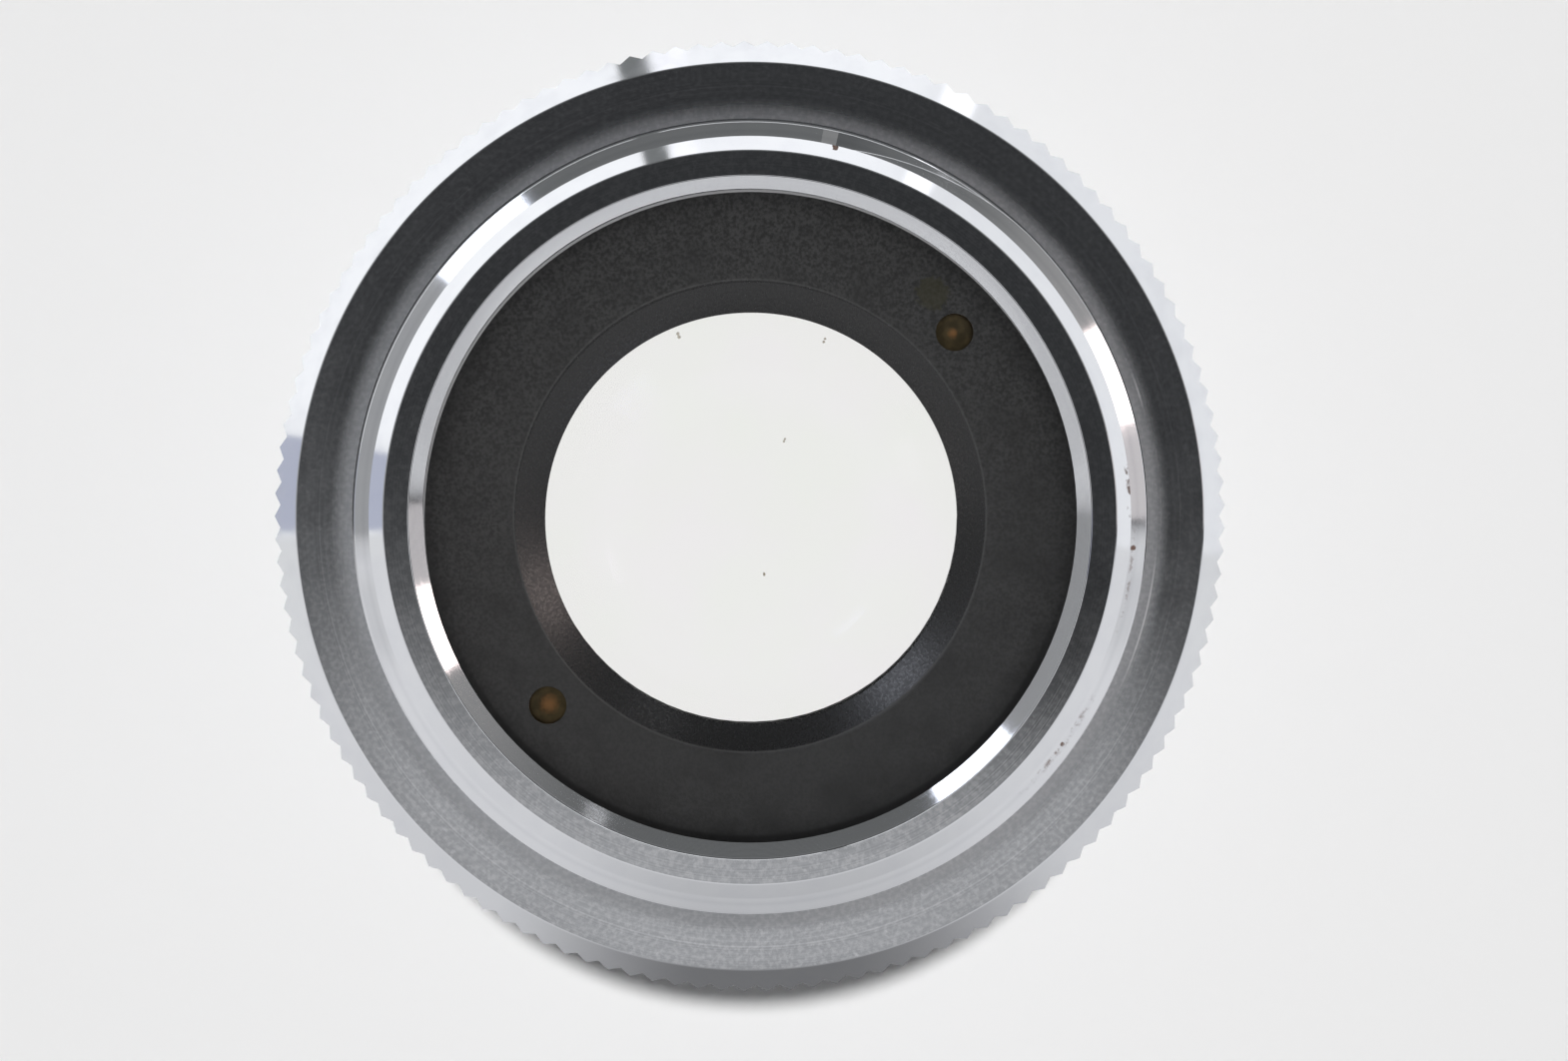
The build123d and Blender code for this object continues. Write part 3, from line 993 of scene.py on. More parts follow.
def arc(centre: Point, radius: float, start: float, end: float, steps: int) -> list[Point]:
    """Give points along an arc.

    Args:
        centre: Middle of the arc.
        radius: Its radius.
        start: Its first angle in degrees.
        end: Its last angle in degrees.
        steps: Number of steps.

    Returns:
        The points.
    """
    angles = [radians(start + (end - start) * step / steps) for step in range(steps + 1)]
    return [(centre[0] + radius * cos(angle), centre[1] + radius * sin(angle)) for angle in angles]


@dataclass(frozen=True)
class Ridge:
    """Right-hand screw ridge of constant section that runs out into its core at both ends."""

    name: str
    section: tuple[Point, ...]
    pitch: float
    turns: float
    top: float
    top_azimuth: float
    run_out: float
    steps: int = 160
    faded: int = 14

    def build(self) -> Piece:
        """Make the ridge.

        Returns:
            The piece. Its section holds radius and height from the ridge's middle.
        """
        start = radians(self.top_azimuth - 360.0 * self.turns)
        bottom = self.top - self.pitch * self.turns
        corners = [
            Vector((radius * cos(start), radius * sin(start), bottom + height)) * MM
            for radius, height in (*self.section, self.section[0])
        ]
        clear_selection()
        bpy.ops.mesh.primitive_plane_add(size=MM)
        piece = new_piece(self.name)
        open_edit(Pick.VERTEX)
        bpy.ops.mesh.select_all(action="SELECT")
        bpy.ops.mesh.merge(type="CENTER")
        bpy.ops.transform.translate(value=corners[0])
        for first, second in zip(corners, corners[1:]):
            bpy.ops.mesh.extrude_vertices_move(TRANSFORM_OT_translate={"value": second - first})
        bpy.ops.mesh.select_all(action="SELECT")
        bpy.ops.mesh.remove_doubles(threshold=MERGE * MM)
        close_edit()
        steps = round(self.steps * self.turns)
        apply_modifier(
            piece, "SCREW", axis="Z", angle=2 * pi * self.turns, screw_offset=self.pitch * self.turns * MM,
            steps=steps, render_steps=steps, use_smooth_shade=False,
        )
        self.fade_ends(piece, start, bottom, steps)
        edit(piece)
        bpy.ops.mesh.select_all(action="SELECT")
        bpy.ops.mesh.fill_holes(sides=0)
        weld()
        close_edit()
        smooth(piece)
        return piece

    def fade_ends(self, piece: Piece, start: float, bottom: float, steps: int) -> None:
        """Sink the last steps at both ends of the ridge into its core.

        Args:
            piece: The ridge.
            start: Azimuth of its lower end in radians.
            bottom: Height of its lower end in millimetres.
            steps: Number of steps along the ridge.
        """
        step = 2 * pi * self.turns / steps
        for index in range(self.faded):
            depth = self.run_out * (1 - index / self.faded) ** 1.5 * MM
            for count in (index, steps - index):
                angle = start + count * step
                height = (bottom + self.pitch * count * step / (2 * pi)) * MM
                side = Vector((cos(angle), sin(angle), 0))

                def in_step(co: Vector) -> bool:
                    """Say whether a vertex belongs to this step."""
                    flat = Vector((co.x, co.y, 0)).normalized()
                    return flat.dot(side) > cos(step / 3) and abs(co.z - height) < 0.55 * self.pitch * MM

                pick_vertices(piece, in_step)
                bpy.ops.transform.translate(value=-side * depth)
                close_edit()


def place(piece: Piece, slot: Slot, *nodes: str) -> None:
    """Fix a piece to the frame in place of CAD nodes, and report it.

    Args:
        piece: Finished piece.
        slot: Slot of the record for the piece; not used.
        nodes: CAD nodes that it stands for.
    """
    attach(piece, "root")
    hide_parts(*nodes)
    LOG.info("%s stands for %s, %d faces", piece.name, ", ".join(nodes), len(piece.data.polygons))


def dress(node: str, material: Material) -> None:
    """Give a CAD node its finish.

    Args:
        node: Name of the node.
        material: Its finish.
    """
    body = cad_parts[node]
    if not body.material_slots:
        body.data.materials.append(material)
    for entry in body.material_slots:
        entry.material = material
    LOG.info("%s keeps its solid", node)


# Assemblies


@dataclass
class MountBody:
    """Object thread, knurled flange and spigot, turned from one blank."""

    bright: Material
    satin: Material
    end: float = 4.8
    end_chamfer: float = 0.38
    thread_root: float = 9.708
    thread_crest: float = 10.16
    thread_root_lap: float = 0.1
    pitch: float = 25.4 / 36
    half_angle: float = 27.5
    crest_flat: float = 0.088
    crest_edge: float = 0.01
    pilot_top: float = 0.72
    pilot_slope: float = 0.33
    fillet: float = 0.3
    shoulder: float = 11.9
    flange: float = 12.5
    flange_bottom: float = -5.0
    relief: float = 12.2
    relief_top: float = -4.65
    teeth: int = 129
    tooth_columns: int = 6
    tooth_depth: float = 0.16
    groove_shares: tuple[float, ...] = (1.0, 0.68, 0.34)
    spigot: float = 10.6
    spigot_end: float = -12.0
    spigot_chamfer: float = 0.3
    bore: float = 8.69
    tapped: float = 8.95
    tapped_top: float = 4.35
    tapped_bottom: float = -2.65
    tapped_slopes: Point = (0.15, 0.10)
    ledge: float = -6.3
    tube_bore: float = 7.8
    soft: float = 0.02

    def build(self) -> None:
        """Turn the body, cut the knurl and run the two threads."""
        body = self.turn_body()
        self.knurl(body)
        body.data.materials.append(self.bright)
        paint_faces(body, self.satin, lambda co, normal: normal.z > 0.99 and co.z > -NEAR * MM)
        smooth(body, 14.0)
        place(body, Slot.CHROME, "mount_body")
        for thread in (self.object_thread(), self.ring_thread()):
            thread.data.materials.append(self.bright)
            place(thread, Slot.CHROME, "mount_body")

    def turn_body(self) -> Piece:
        """Turn the blank, with whole steps to each tooth of the knurl.

        Returns:
            The blank.
        """
        soft = self.soft
        face_edge = self.thread_root - self.end_chamfer
        profile = [
            (self.bore, self.end - soft / 2),
            (self.bore + soft / 2, self.end),
            (face_edge - soft, self.end),
            (face_edge + soft / 2, self.end - soft / 2),
            (self.thread_root, self.end - self.end_chamfer),
            (self.thread_root, self.pilot_top + self.pilot_slope),
            (self.thread_crest - soft, self.pilot_top),
            *arc((self.thread_crest + self.fillet, self.fillet), self.fillet, 180.0, 270.0, 12),
            (self.shoulder - soft, 0.0),
            (self.shoulder + soft / 2, -soft / 2),
            (self.flange, self.shoulder - self.flange),
            (self.flange, self.relief_top),
            (self.relief, self.relief_top),
            (self.relief, self.flange_bottom),
            (self.spigot, self.flange_bottom),
            (self.spigot, self.spigot_end + self.spigot_chamfer),
            (self.spigot - self.spigot_chamfer, self.spigot_end),
            (self.tube_bore, self.spigot_end),
            (self.tube_bore, self.ledge),
            (self.bore, self.ledge),
            (self.bore, self.tapped_bottom - self.tapped_slopes[1]),
            (self.tapped, self.tapped_bottom),
            (self.tapped, self.tapped_top),
            (self.bore, self.tapped_top + self.tapped_slopes[0]),
        ]
        off = 90.0 % (360.0 / self.teeth)
        return turned("mount_body_turned", profile, self.tooth_columns * self.teeth, edge=0.0, turn=-off)

    def knurl(self, body: Piece) -> None:
        """Draw the grooves of the knurl in towards the axis.

        Args:
            body: The turned blank.
        """
        column_width = 360.0 / self.teeth / self.tooth_columns
        top = self.shoulder - self.flange
        for step, share in enumerate(self.groove_shares):
            depth = self.tooth_depth * share
            pulled = self.flange - depth

            def in_groove(co: Vector) -> bool:
                """Say whether a vertex lies on the crest circle in this step of a groove."""
                column = round(degrees(atan2(co.y, co.x)) / column_width) % self.tooth_columns
                return near(hypot(co.x, co.y), self.flange) and column in (step, -step % self.tooth_columns)

            pick_vertices(body, in_groove)
            scale = pulled / self.flange
            bpy.ops.transform.resize(value=(scale, scale, 1), center_override=(0, 0, 0))
            close_edit()
            pick_vertices(body, lambda co: near(hypot(co.x, co.y), pulled) and near(co.z, top))
            bpy.ops.transform.translate(value=(0, 0, depth * MM))
            close_edit()

    def object_thread(self) -> Piece:
        """Run the outer thread, 55 degree form with a flat crest.

        Returns:
            The thread.
        """
        core = self.thread_root - self.thread_root_lap
        crest = self.thread_crest
        flat, broken = self.crest_flat / 2, self.crest_edge
        foot = flat + (crest - core) * tan(radians(self.half_angle))
        upper = ((crest, flat - broken), (crest - broken, flat), (core, foot))
        lower = tuple((radius, -height) for radius, height in reversed(upper))
        return Ridge(
            "object_thread", (*lower, *upper), self.pitch, turns=3.75, top=3.62, top_azimuth=77.0,
            run_out=0.46,
        ).build()

    def ring_thread(self) -> Piece:
        """Run the fine inner thread that the rear retaining ring screws into.

        Returns:
            The thread.
        """
        root, foot, flat = self.tapped + 0.05, 0.225, 0.04
        section = ((root, -foot), (root, foot), (self.bore, flat), (self.bore, -flat))
        return Ridge(
            "ring_thread", section, pitch=0.5, turns=13.25, top=4.2, top_azimuth=250.0, run_out=-0.27,
            steps=128, faded=8,
        ).build()


@dataclass(frozen=True)
class Doublet:
    """Cemented pair, crown upwards, with a hair's gap between its glasses."""

    name: str
    radius: float
    vertex: float
    cement: float
    seat: float
    front_curve: float = 24.0
    cement_curve: float = 18.5
    gap: float = 0.008
    steps: int = 20

    def build(self) -> tuple[Piece, Piece]:
        """Grind the two glasses.

        Returns:
            The crown and the flint.
        """
        radii = [self.radius * step / self.steps for step in range(self.steps + 1)]
        top = [(radius, self.vertex - self.sag(self.front_curve, radius)) for radius in radii]
        joint = [(radius, self.cement + self.sag(self.cement_curve, radius)) for radius in radii]
        above = [(radius, height + self.gap / 2) for radius, height in reversed(joint)]
        below = [(radius, height - self.gap / 2) for radius, height in joint]
        flat = [(radius, self.seat) for radius in (self.radius, self.radius / 2, 0.3, 0.0)]
        crown = ground(self.name + "_crown_glass", [*top, *above])
        flint = ground(self.name + "_flint_glass", [*below, *flat])
        return crown, flint

    def sag(self, curve: float, radius: float) -> float:
        """Give the depth of a spherical surface at a distance from the axis."""
        return curve - sqrt(curve * curve - radius * radius)


@dataclass
class RearGroup:
    """Rear retaining ring, cell and doublet behind the object thread."""

    paint: Material
    brass: Material
    glass: Material
    clean_glass: Material
    top: float = -2.55
    thickness: float = 2.2
    outer: float = 8.61
    lip: float = 8.78
    lip_edge: Point = (0.03, 0.02)
    lip_height: float = 0.095
    lip_foot: float = 0.19
    mouth: float = 6.29
    throat: float = 5.5
    throat_land: float = 0.04
    undercut: float = 0.14
    cone: float = 0.45
    edge: float = 0.012
    drop: Point = (0.03, -0.075)
    hole: float = 0.5
    hole_depth: float = 1.0
    hole_point: float = 59.0
    hole_circle: float = 7.35
    hole_azimuth: float = 42.5
    doublet: Doublet = Doublet("rear", radius=6.0, vertex=-4.8, cement=-7.8, seat=-9.2)

    def build(self) -> None:
        """Make the ring and grind the doublet."""
        self.turn_ring()
        crown, flint = self.doublet.build()
        crown.data.materials.append(self.glass)
        flint.data.materials.append(self.clean_glass)
        place(crown, Slot.GLASS, "rear_crown")
        place(flint, Slot.GLASS, "rear_flint")
        for node in ("rear_cell", "rear_lens_ring"):
            dress(node, self.paint)

    def turn_ring(self) -> None:
        """Turn the ring, drill its spanner holes and let it drop in the play of its thread."""
        bottom = self.top - self.thickness
        ring = turned("rear_retaining_ring_turned", [
            (self.mouth, self.top),
            (self.lip - self.lip_edge[0], self.top),
            (self.lip, self.top - self.lip_edge[1]),
            (self.lip, self.top - self.lip_height),
            (self.outer, self.top - self.lip_foot),
            (self.outer, bottom),
            (self.throat + self.undercut, bottom),
            (self.throat, self.top - self.cone - self.throat_land),
            (self.throat, self.top - self.cone),
        ], edge=self.edge)
        ring.data.materials.append(RingPaint(mouth=self.mouth, drop=self.drop).build())
        for azimuth in (self.hole_azimuth, self.hole_azimuth + 180.0):
            cut(ring, self.drill(azimuth))
        pick_vertices(ring, lambda co: True)
        bpy.ops.transform.translate(value=(self.drop[0] * MM, self.drop[1] * MM, 0))
        close_edit()
        smooth(ring)
        place(ring, Slot.BLACK, "rear_retaining_ring")

    def drill(self, azimuth: float) -> Piece:
        """Shape the drill of a spanner hole, with its point.

        Args:
            azimuth: Azimuth of the hole in degrees.

        Returns:
            The cutter.
        """
        above = 0.3
        middle = self.top + (above - self.hole_depth) / 2
        x, y = at_azimuth(self.hole_circle, azimuth)
        clear_selection()
        bpy.ops.mesh.primitive_cylinder_add(
            vertices=48, radius=self.hole * MM, depth=(above + self.hole_depth) * MM,
            location=(x * MM, y * MM, middle * MM),
        )
        drill = bpy.context.object
        bpy.ops.object.transform_apply(location=True)
        pick_vertices(drill, lambda co: near(co.z, self.top - self.hole_depth))
        point = self.hole / tan(radians(self.hole_point))
        bpy.ops.mesh.extrude_region_move(TRANSFORM_OT_translate={"value": (0, 0, -point * MM)})
        bpy.ops.mesh.merge(type="CENTER")
        close_edit()
        drill.data.materials.append(self.brass)
        return drill


@dataclass
class FrontGroup:
    """Lens tube with its stop, front cell and front doublet."""

    paint: Material
    brass: Material
    glass: Material
    doublet: Doublet = Doublet("front", radius=5.0, vertex=-19.935, cement=-22.535, seat=-23.835)
    black_nodes: tuple[str, ...] = (
        "lens_tube", "aperture_stop", "stop_ring", "front_cell", "front_lens_ring", "front_retaining_ring",
    )
    brass_nodes: tuple[str, ...] = ("parfocal_shims", "front_spacer")

    def build(self) -> None:
        """Grind the doublet and dress the tube, the cell and their rings."""
        for piece, node in zip(self.doublet.build(), ("front_crown", "front_flint")):
            piece.data.materials.append(self.glass)
            place(piece, Slot.GLASS, node)
        for node in self.black_nodes:
            dress(node, self.paint)
        for node in self.brass_nodes:
            dress(node, self.brass)


@dataclass
class Barrel:
    """Outer sleeve, ring of colour, nose cone and the grub screws."""

    chrome: Material
    enamel: Material
    steel: Material
    sleeve: float = 11.7
    sleeve_top: float = -5.0
    sleeve_end: float = -16.2
    sleeve_step: float = -12.4
    spigot_bore: float = 10.65
    nose_bore: float = 9.95
    chamfer: float = 0.25
    band: float = 11.55
    collar: float = -17.0
    taper: float = -17.8
    tip: float = 9.2
    tip_top: float = -21.5
    tip_chamfer: float = 0.5
    nose_top: float = -13.8
    nose_end: float = -27.0
    nose_spigot: float = 9.9
    nose_inner: float = 7.9
    nose_floor: float = 1.2
    opening: float = 5.3
    countersink: float = 0.9
    screw: float = 0.8
    screw_play: float = 0.05
    screw_height: float = -8.5
    screw_base: float = 10.08
    screw_length: float = 1.5
    screw_azimuth: float = 12.0
    screws: int = 3
    slot_depth: float = 0.35
    slot_width: float = 0.3

    def build(self) -> None:
        """Turn the shells and fit the screws."""
        self.turn_sleeve()
        self.turn_band()
        self.turn_nose()
        self.fit_screws()

    def screw_azimuths(self) -> list[float]:
        """Give the azimuth of each screw."""
        return [self.screw_azimuth + 360.0 / self.screws * count for count in range(self.screws)]

    def turn_sleeve(self) -> None:
        """Turn the sleeve and drill it for the screws."""
        sleeve = turned("outer_sleeve_turned", [
            (self.spigot_bore, self.sleeve_top),
            (self.sleeve - self.chamfer, self.sleeve_top),
            (self.sleeve, self.sleeve_top - self.chamfer),
            (self.sleeve, self.sleeve_end + self.chamfer),
            (self.sleeve - self.chamfer, self.sleeve_end),
            (self.nose_bore, self.sleeve_end),
            (self.nose_bore, self.sleeve_step),
            (self.spigot_bore, self.sleeve_step),
        ])
        sleeve.data.materials.append(self.chrome)
        for azimuth in self.screw_azimuths():
            x, y = at_azimuth(self.sleeve, azimuth)
            clear_selection()
            bpy.ops.mesh.primitive_cylinder_add(
                vertices=48, radius=(self.screw + self.screw_play) * MM, depth=2 * self.screw_length * MM,
                location=(x * MM, y * MM, self.screw_height * MM), rotation=(0, pi / 2, radians(azimuth)),
            )
            drill = bpy.context.object
            drill.data.materials.append(self.chrome)
            cut(sleeve, drill)
        smooth(sleeve)
        place(sleeve, Slot.CHROME, "outer_sleeve")

    def turn_band(self) -> None:
        """Turn the ring of colour that the sleeve and the nose clamp."""
        band = turned("colour_band_ring", [
            (self.nose_bore, self.collar),
            (self.nose_bore, self.sleeve_end),
            (self.band, self.sleeve_end),
            (self.band, self.collar),
        ])
        band.data.materials.append(self.enamel)
        place(band, Slot.BAND, "colour_band")

    def turn_nose(self) -> None:
        """Turn the nose cone."""
        nose = turned("nose_cone_turned", [
            (self.nose_inner, self.nose_top),
            (self.nose_spigot, self.nose_top),
            (self.nose_spigot, self.collar),
            (self.sleeve - self.chamfer, self.collar),
            (self.sleeve, self.collar - self.chamfer),
            (self.sleeve, self.taper),
            (self.tip, self.tip_top),
            (self.tip, self.nose_end + self.tip_chamfer),
            (self.tip - self.tip_chamfer, self.nose_end),
            (self.opening + self.countersink, self.nose_end),
            (self.opening, self.nose_end + self.countersink),
            (self.opening, self.nose_end + self.nose_floor),
            (self.nose_inner, self.nose_end + self.nose_floor),
        ])
        nose.data.materials.append(self.chrome)
        place(nose, Slot.CHROME, "nose_cone")

    def fit_screws(self) -> None:
        """Copy one grub screw round the sleeve."""
        screw = self.make_screw()
        for number, azimuth in enumerate(self.screw_azimuths(), start=1):
            copy = screw.copy()
            copy.data = screw.data.copy()
            copy.name = copy.data.name = f"sleeve_screw_{number}"
            bpy.context.collection.objects.link(copy)
            copy.rotation_euler = (0, 0, radians(azimuth))
            copy.location = (0, 0, self.screw_height * MM)
            activate(copy)
            bpy.ops.object.transform_apply(location=True, rotation=True)
            smooth(copy, 25.0)
            place(copy, Slot.STEEL, "sleeve_screws")
        bpy.data.objects.remove(screw)

    def make_screw(self) -> Piece:
        """Make a slotted grub screw that lies along the X axis.

        Returns:
            The screw.
        """
        middle = self.screw_base + self.screw_length / 2
        clear_selection()
        bpy.ops.mesh.primitive_cylinder_add(
            vertices=64, radius=self.screw * MM, depth=self.screw_length * MM, location=(middle * MM, 0, 0),
            rotation=(0, pi / 2, 0),
        )
        screw = bpy.context.object
        bpy.ops.object.transform_apply(location=True, rotation=True)
        break_edges(screw, 0.08, 3, 40.0)
        outer = self.screw_base + self.screw_length
        clear_selection()
        bpy.ops.mesh.primitive_cube_add(
            size=MM, location=(outer * MM, 0, 0), scale=(2 * self.slot_depth, 5 * self.screw, self.slot_width)
        )
        slot = bpy.context.object
        for piece in (screw, slot):
            piece.data.materials.append(self.steel)
        cut(screw, slot)
        return screw


# Stage


@dataclass(frozen=True)
class Window:
    """Bright opening in the room, seen only in polished metal."""

    left: float
    right: float
    low: float
    high: float
    colour: Colour


@dataclass(frozen=True)
class Wall:
    """Stretch of the room's wall, which may run through azimuth 0."""

    start: float
    end: float
    soft: float
    colour: Colour


@dataclass(frozen=True)
class Sun:
    """Soft light nearly overhead, with its width and lean in degrees."""

    name: str
    energy: float
    width: float
    tilt: float
    reach: Reach
    height: float = 300.0

    def hang(self, floor: Piece) -> None:
        """Hang the light.

        Args:
            floor: The floor that it lights or leaves out.
        """
        clear_selection()
        location = (0, 0, self.height * MM)
        bpy.ops.object.light_add(type="SUN", location=location, rotation=(radians(self.tilt), 0, 0))
        sun = bpy.context.object
        sun.name = self.name
        sun.data.energy = self.energy
        sun.data.angle = radians(self.width)
        sun.visible_glossy = sun.visible_transmission = False
        group = bpy.data.collections.new(self.name + "_receivers")
        group.objects.link(floor)
        sun.light_linking.receiver_collection = group
        group.collection_objects[0].light_linking.link_state = self.reach.value


@dataclass(frozen=True)
class Floor:
    """Pale floor under the nose, evenly bright behind the glass."""

    radius: float = 290.0
    colour: Colour = (0.86, 0.86, 0.86)
    roughness: float = 0.9
    glow: Colour = (0.896, 0.876, 0.918)
    mirrored: float = 0.15

    def lay(self) -> Piece:
        """Lay the floor.

        Returns:
            The floor.
        """
        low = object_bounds()[0][2]
        clear_selection()
        bpy.ops.mesh.primitive_circle_add(
            vertices=96, radius=self.radius * MM, fill_type="NGON", location=(0, 0, low)
        )
        floor = new_piece("floor")
        bpy.ops.object.transform_apply(location=True)
        floor.data.materials.append(self.paper())
        floor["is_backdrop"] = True
        return floor

    def paper(self) -> Material:
        """Make the floor's material, evenly bright for rays that come through glass.

        Returns:
            The material.
        """
        material, graph, shader = new_surface("floor_paper")
        shader.inputs["Base Color"].default_value = (*self.colour, 1.0)
        shader.inputs["Roughness"].default_value = self.roughness
        shader.inputs["Specular IOR Level"].default_value = 0.0
        path = graph.add("LightPath")
        glow = graph.add("Emission")
        glow.inputs["Color"].default_value = (*self.glow, 1.0)
        mirrored = graph.times(path.outputs["Is Glossy Ray"], self.mirrored)
        blend = graph.add("MixShader")
        graph.feed(blend.inputs[0], graph.strongest(mirrored, path.outputs["Is Transmission Ray"]))
        graph.feed(blend.inputs[1], shader.outputs[0])
        graph.feed(blend.inputs[2], glow.outputs[0])
        graph.feed(graph.tree.nodes["Material Output"].inputs[0], blend.outputs[0])
        return material


@dataclass(frozen=True)
class TableCard:
    """White table beside the object, which only polished metal sees."""

    side: float = 400.0
    bottom: float = -2.5
    top: float = 600.0
    level: float = -12.6
    colour: Colour = (0.985, 0.985, 1.0)
    strength: float = 0.98
    dip: Point = (14.0, 22.0)
    rise: Point = (35.0, 60.0)
    right_fade: Point = (45.0, 250.0)
    left_start: float = 60.0
    left_length: float = 320.0
    middle: Point = (-6.0, 6.0)
    shadow_left: Point = (-9.0, -1.0)
    shadow_right: Point = (2.0, 13.0)
    shadow_spread: Point = (4.0, 30.0)
    shadow_fall: float = 4.3

    def stand(self) -> None:
        """Stand the card upright beside the object."""
        middle = (self.top + self.bottom) / 2
        clear_selection()
        bpy.ops.mesh.primitive_plane_add(
            size=MM, location=(0, self.level * MM, middle * MM), rotation=(pi / 2, 0, 0)
        )
        card = new_piece("table_card")
        card.scale = (2 * self.side, self.top - self.bottom, 1)
        bpy.ops.object.transform_apply(location=True, rotation=True, scale=True)
        card.data.materials.append(self.white())
        card.visible_camera = card.visible_diffuse = card.visible_transmission = False
        card.visible_shadow = card.visible_volume_scatter = False
        card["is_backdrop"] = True

    def white(self) -> Material:
        """Make the card's material, with the object's shadow and less light far behind.

        Returns:
            The material.
        """
        material, graph, shader = new_surface("table_white")
        graph.tree.nodes.remove(shader)
        parts = graph.split(graph.place())
        x, z = (graph.math("DIVIDE", parts[index], MM) for index in (0, 2))
        light = graph.math("SUBTRACT", 1.0, self.shadow(graph, x, z))
        dip = graph.ramp(z, *self.dip, 1.0, 0.85)
        near_side = graph.strongest(dip, graph.ramp(z, *self.rise, 0.85, 0.95))
        right = graph.ramp(z, *self.right_fade, 1.0, 0.05)
        behind = graph.math("DIVIDE", graph.math("SUBTRACT", self.left_start, z), self.left_length)
        left = graph.math("MINIMUM", graph.math("EXPONENT", behind), 1.0)
        depth = graph.ramp(x, *self.middle, left, right)
        glow = graph.add("Emission")
        glow.inputs["Color"].default_value = (*self.colour, 1.0)
        lit = graph.times(graph.times(light, self.strength), near_side)
        graph.feed(glow.inputs["Strength"], graph.times(lit, depth))
        graph.feed(graph.tree.nodes["Material Output"].inputs[0], glow.outputs[0])
        return material

    def shadow(self, graph: Graph, x: Socket, z: Socket) -> Socket:
        """Mask the shadow of the object at the card's lower edge.

        Args:
            graph: Graph of the material.
            x: Distance to the right in millimetres.
            z: Height in millimetres.

        Returns:
            The mask.
        """
        pool = graph.times(graph.ramp(x, *self.shadow_left), graph.ramp(x, *self.shadow_right, 0.62, 0.0))
        fall = graph.math("EXPONENT", graph.math("DIVIDE", graph.strongest(z, 0.0), -self.shadow_fall))
        spread = graph.ramp(graph.math("ABSOLUTE", x), *self.shadow_spread, 0.14, 0.0)
        wide = graph.times(spread, graph.math("SQRT", fall))
        return graph.math("ADD", graph.times(pool, fall), wide)


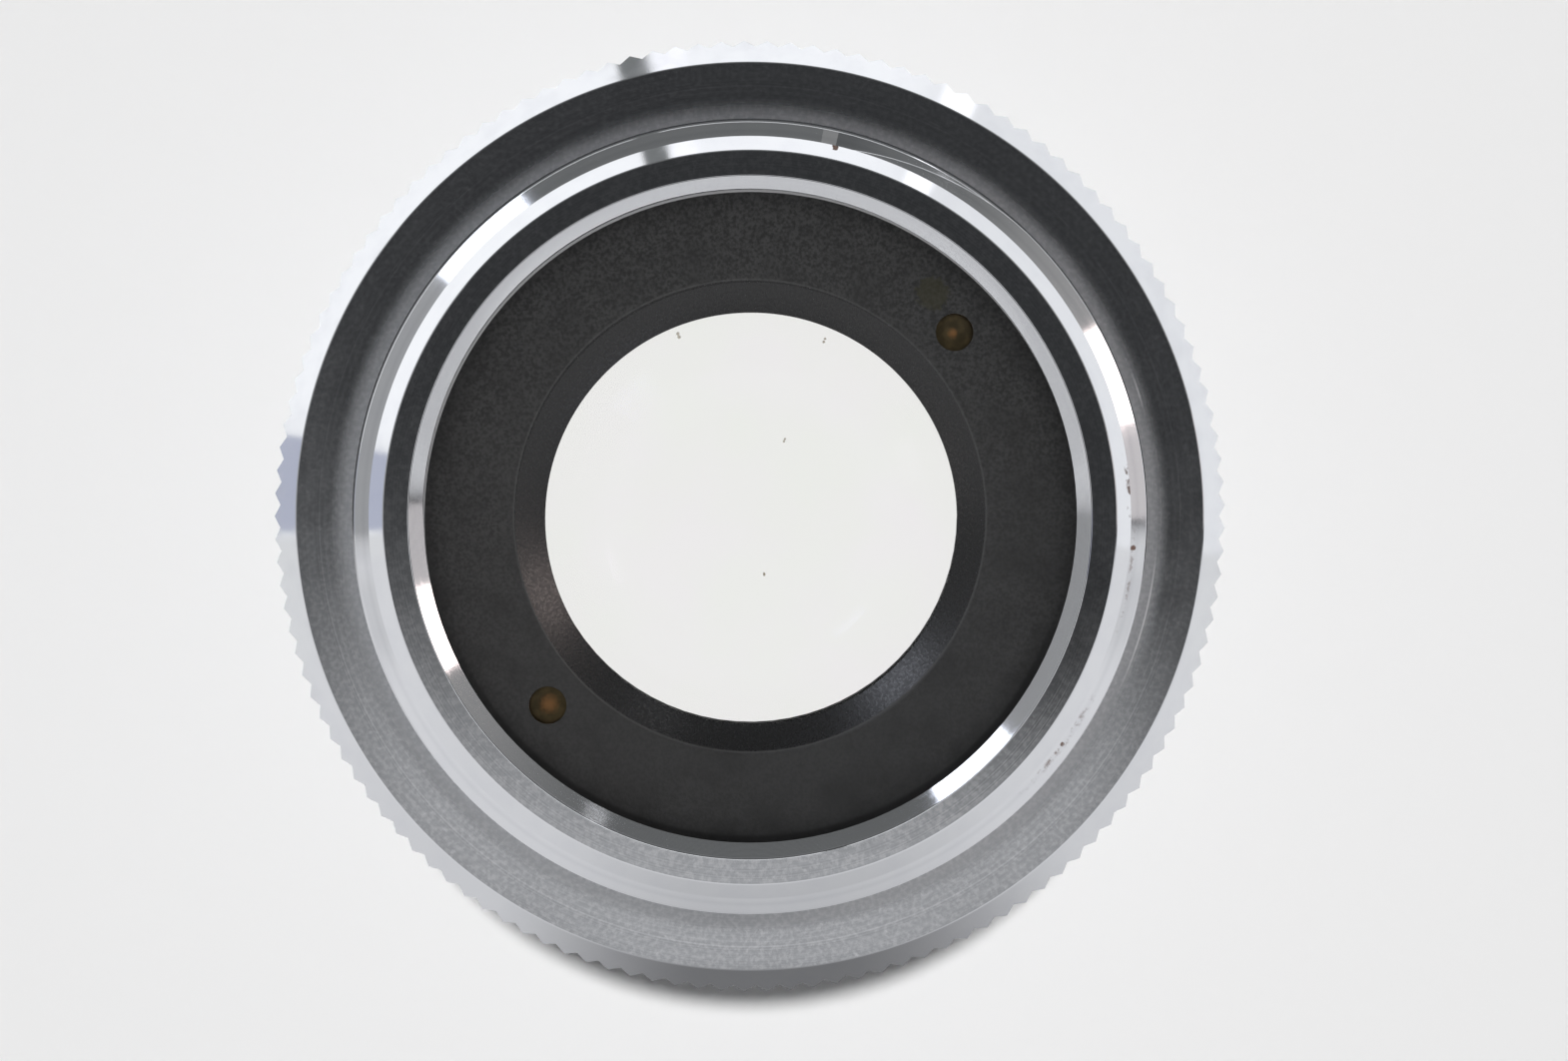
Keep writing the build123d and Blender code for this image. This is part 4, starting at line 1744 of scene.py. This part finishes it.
@dataclass(frozen=True)
class Room:
    """Room that the chrome reflects, plain for the camera and for diffuse light."""

    backdrop: float = 0.84
    ambient: float = 0.09
    horizon: Colour = (1.13, 1.14, 1.16)
    lower_walls: tuple[Wall, ...] = (
        Wall(66.0, 170.0, 6.0, (1.37, 1.38, 1.40)),
        Wall(183.0, 355.0, 0.5, (0.98, 0.985, 0.99)),
        Wall(102.7, 106.6, 0.5, (0.24, 0.25, 0.25)),
        Wall(170.3, 182.3, 0.3, (0.62, 0.65, 0.78)),
        Wall(222.0, 238.0, 2.0, (0.12, 0.12, 0.125)),
        Wall(306.0, 316.0, 2.0, (0.12, 0.12, 0.125)),
    )
    ceiling_right: Colour = (0.43, 0.425, 0.42)
    ceiling_left: Colour = (0.195, 0.20, 0.20)
    ceiling_change: Point = (27.0, 68.0)
    upper_walls: tuple[Wall, ...] = (
        Wall(141.0, 183.0, 1.0, (0.46, 0.465, 0.47)),
        Wall(352.0, 12.7, 0.6, (0.80, 0.76, 0.76)),
        Wall(183.0, 355.0, 0.5, (0.84, 0.84, 0.85)),
    )
    zenith: Colour = (0.073, 0.075, 0.078)
    lower_to_upper: Point = (10.0, 20.0)
    upper_to_zenith: Point = (46.0, 62.0)
    window_soft: Point = (0.5, 2.0)
    windows: tuple[Window, ...] = (
        Window(12.7, 27.2, 21.0, 44.0, (5.0, 4.2, 4.0)),
        Window(125.0, 141.0, 21.0, 44.0, (4.4, 4.6, 5.2)),
        Window(61.0, 65.3, -12.0, 27.0, (1.75, 1.75, 1.8)),
        Window(61.5, 65.3, 33.5, 40.0, (5.0, 5.0, 5.1)),
        Window(98.0, 102.0, -12.0, 24.0, (1.5, 1.5, 1.55)),
    )

    def paint(self) -> None:
        """Paint the room on the world."""
        world = bpy.data.worlds.new("studio_room")
        bpy.context.scene.world = world
        world.use_nodes = True
        graph = Graph(world.node_tree)
        radius, azimuth, height = graph.polar(graph.add("TexCoord").outputs["Generated"])
        elevation = graph.math("DEGREES", graph.math("ARCTAN2", height, radius))
        lower = self.paint_walls(graph, azimuth, self.horizon, self.lower_walls)
        ceiling = graph.mix(graph.ramp(azimuth, *self.ceiling_change), self.ceiling_right, self.ceiling_left)
        upper = self.paint_walls(graph, azimuth, ceiling, self.upper_walls)
        room = graph.mix(graph.ramp(elevation, *self.lower_to_upper), lower, upper)
        room = graph.mix(graph.ramp(elevation, *self.upper_to_zenith), room, self.zenith)
        for window in self.windows:
            wide = graph.band(azimuth, window.left, window.right, self.window_soft[0])
            tall = graph.band(elevation, window.low, window.high, self.window_soft[1])
            room = graph.mix(graph.times(wide, tall), room, window.colour)
        path = graph.add("LightPath")
        plain = graph.mix(path.outputs["Is Camera Ray"], (self.ambient,) * 3, (self.backdrop,) * 3)
        background = world.node_tree.nodes["Background"]
        graph.feed(background.inputs["Color"], graph.mix(path.outputs["Is Glossy Ray"], plain, room))

    def paint_walls(self, graph: Graph, azimuth: Socket, shade: Value, walls: Sequence[Wall]) -> Value:
        """Paint stretches of wall over a colour.

        Args:
            graph: Graph of the world.
            azimuth: Azimuth in degrees.
            shade: Colour underneath.
            walls: The stretches in order.

        Returns:
            The painted colour.
        """
        for wall in walls:
            low, high = sorted((wall.start, wall.end))
            mask = graph.band(azimuth, low, high, wall.soft)
            if wall.start > wall.end:
                mask = graph.math("SUBTRACT", 1.0, mask)
            shade = graph.mix(mask, shade, wall.colour)
        return shade


@dataclass(frozen=True)
class Viewpoint:
    """Camera of the photograph, on the optical axis and slightly turned."""

    height: float = 154.8
    rise: float = 0.9
    lens: float = 135.6
    sensor: float = 36.0
    turn_x: float = -0.469
    turn_y: float = -0.33
    clip: Point = (5.0, 20000.0)

    def build(self) -> None:
        """Make the camera and use it."""
        clear_selection()
        turn = (radians(self.turn_x), radians(self.turn_y), 0)
        bpy.ops.object.camera_add(location=(0, self.rise * MM, self.height * MM), rotation=turn)
        camera = bpy.context.object
        camera.name = "view_onto_thread"
        camera.data.lens = self.lens
        camera.data.sensor_width = self.sensor
        camera.data.clip_start, camera.data.clip_end = (limit * MM for limit in self.clip)
        bpy.context.scene.camera = camera


def build_stage() -> None:
    """Lay the floor, stand the card, hang the lights and paint the room."""
    floor = Floor().lay()
    TableCard().stand()
    Sun("key_light", energy=2.655, width=1.5, tilt=-6.0, reach=Reach.FLOOR).hang(floor)
    Sun("fill_light", energy=1.975, width=12.0, tilt=0.0, reach=Reach.ALL_BUT_FLOOR).hang(floor)
    Room().paint()


def main() -> None:
    """Build the objective, its stage and the camera in order."""
    logging.basicConfig(level=logging.INFO, format="%(message)s")
    bpy.context.scene.view_settings.view_transform = "Standard"
    Viewpoint().build()
    chrome = BrightChrome().build()
    brass = TarnishedBrass().build()
    paint = BlackPaint().build()
    clear = CoatedGlass().build()
    specks = (Spot(-1.92, 4.83, 0.05), Spot(2.0, 4.7, 0.04), Spot(0.92, 2.0, 0.035), Spot(0.38, -1.57, 0.035))
    dusty = CoatedGlass(name="dusty_glass", specks=specks).build()
    MountBody(chrome, TurnedChrome().build()).build()
    RearGroup(paint, brass, dusty, clear).build()
    FrontGroup(paint, brass, clear).build()
    Barrel(chrome, BandEnamel().build(), ScrewSteel().build()).build()
    build_stage()


if __name__ == "__main__":
    main()
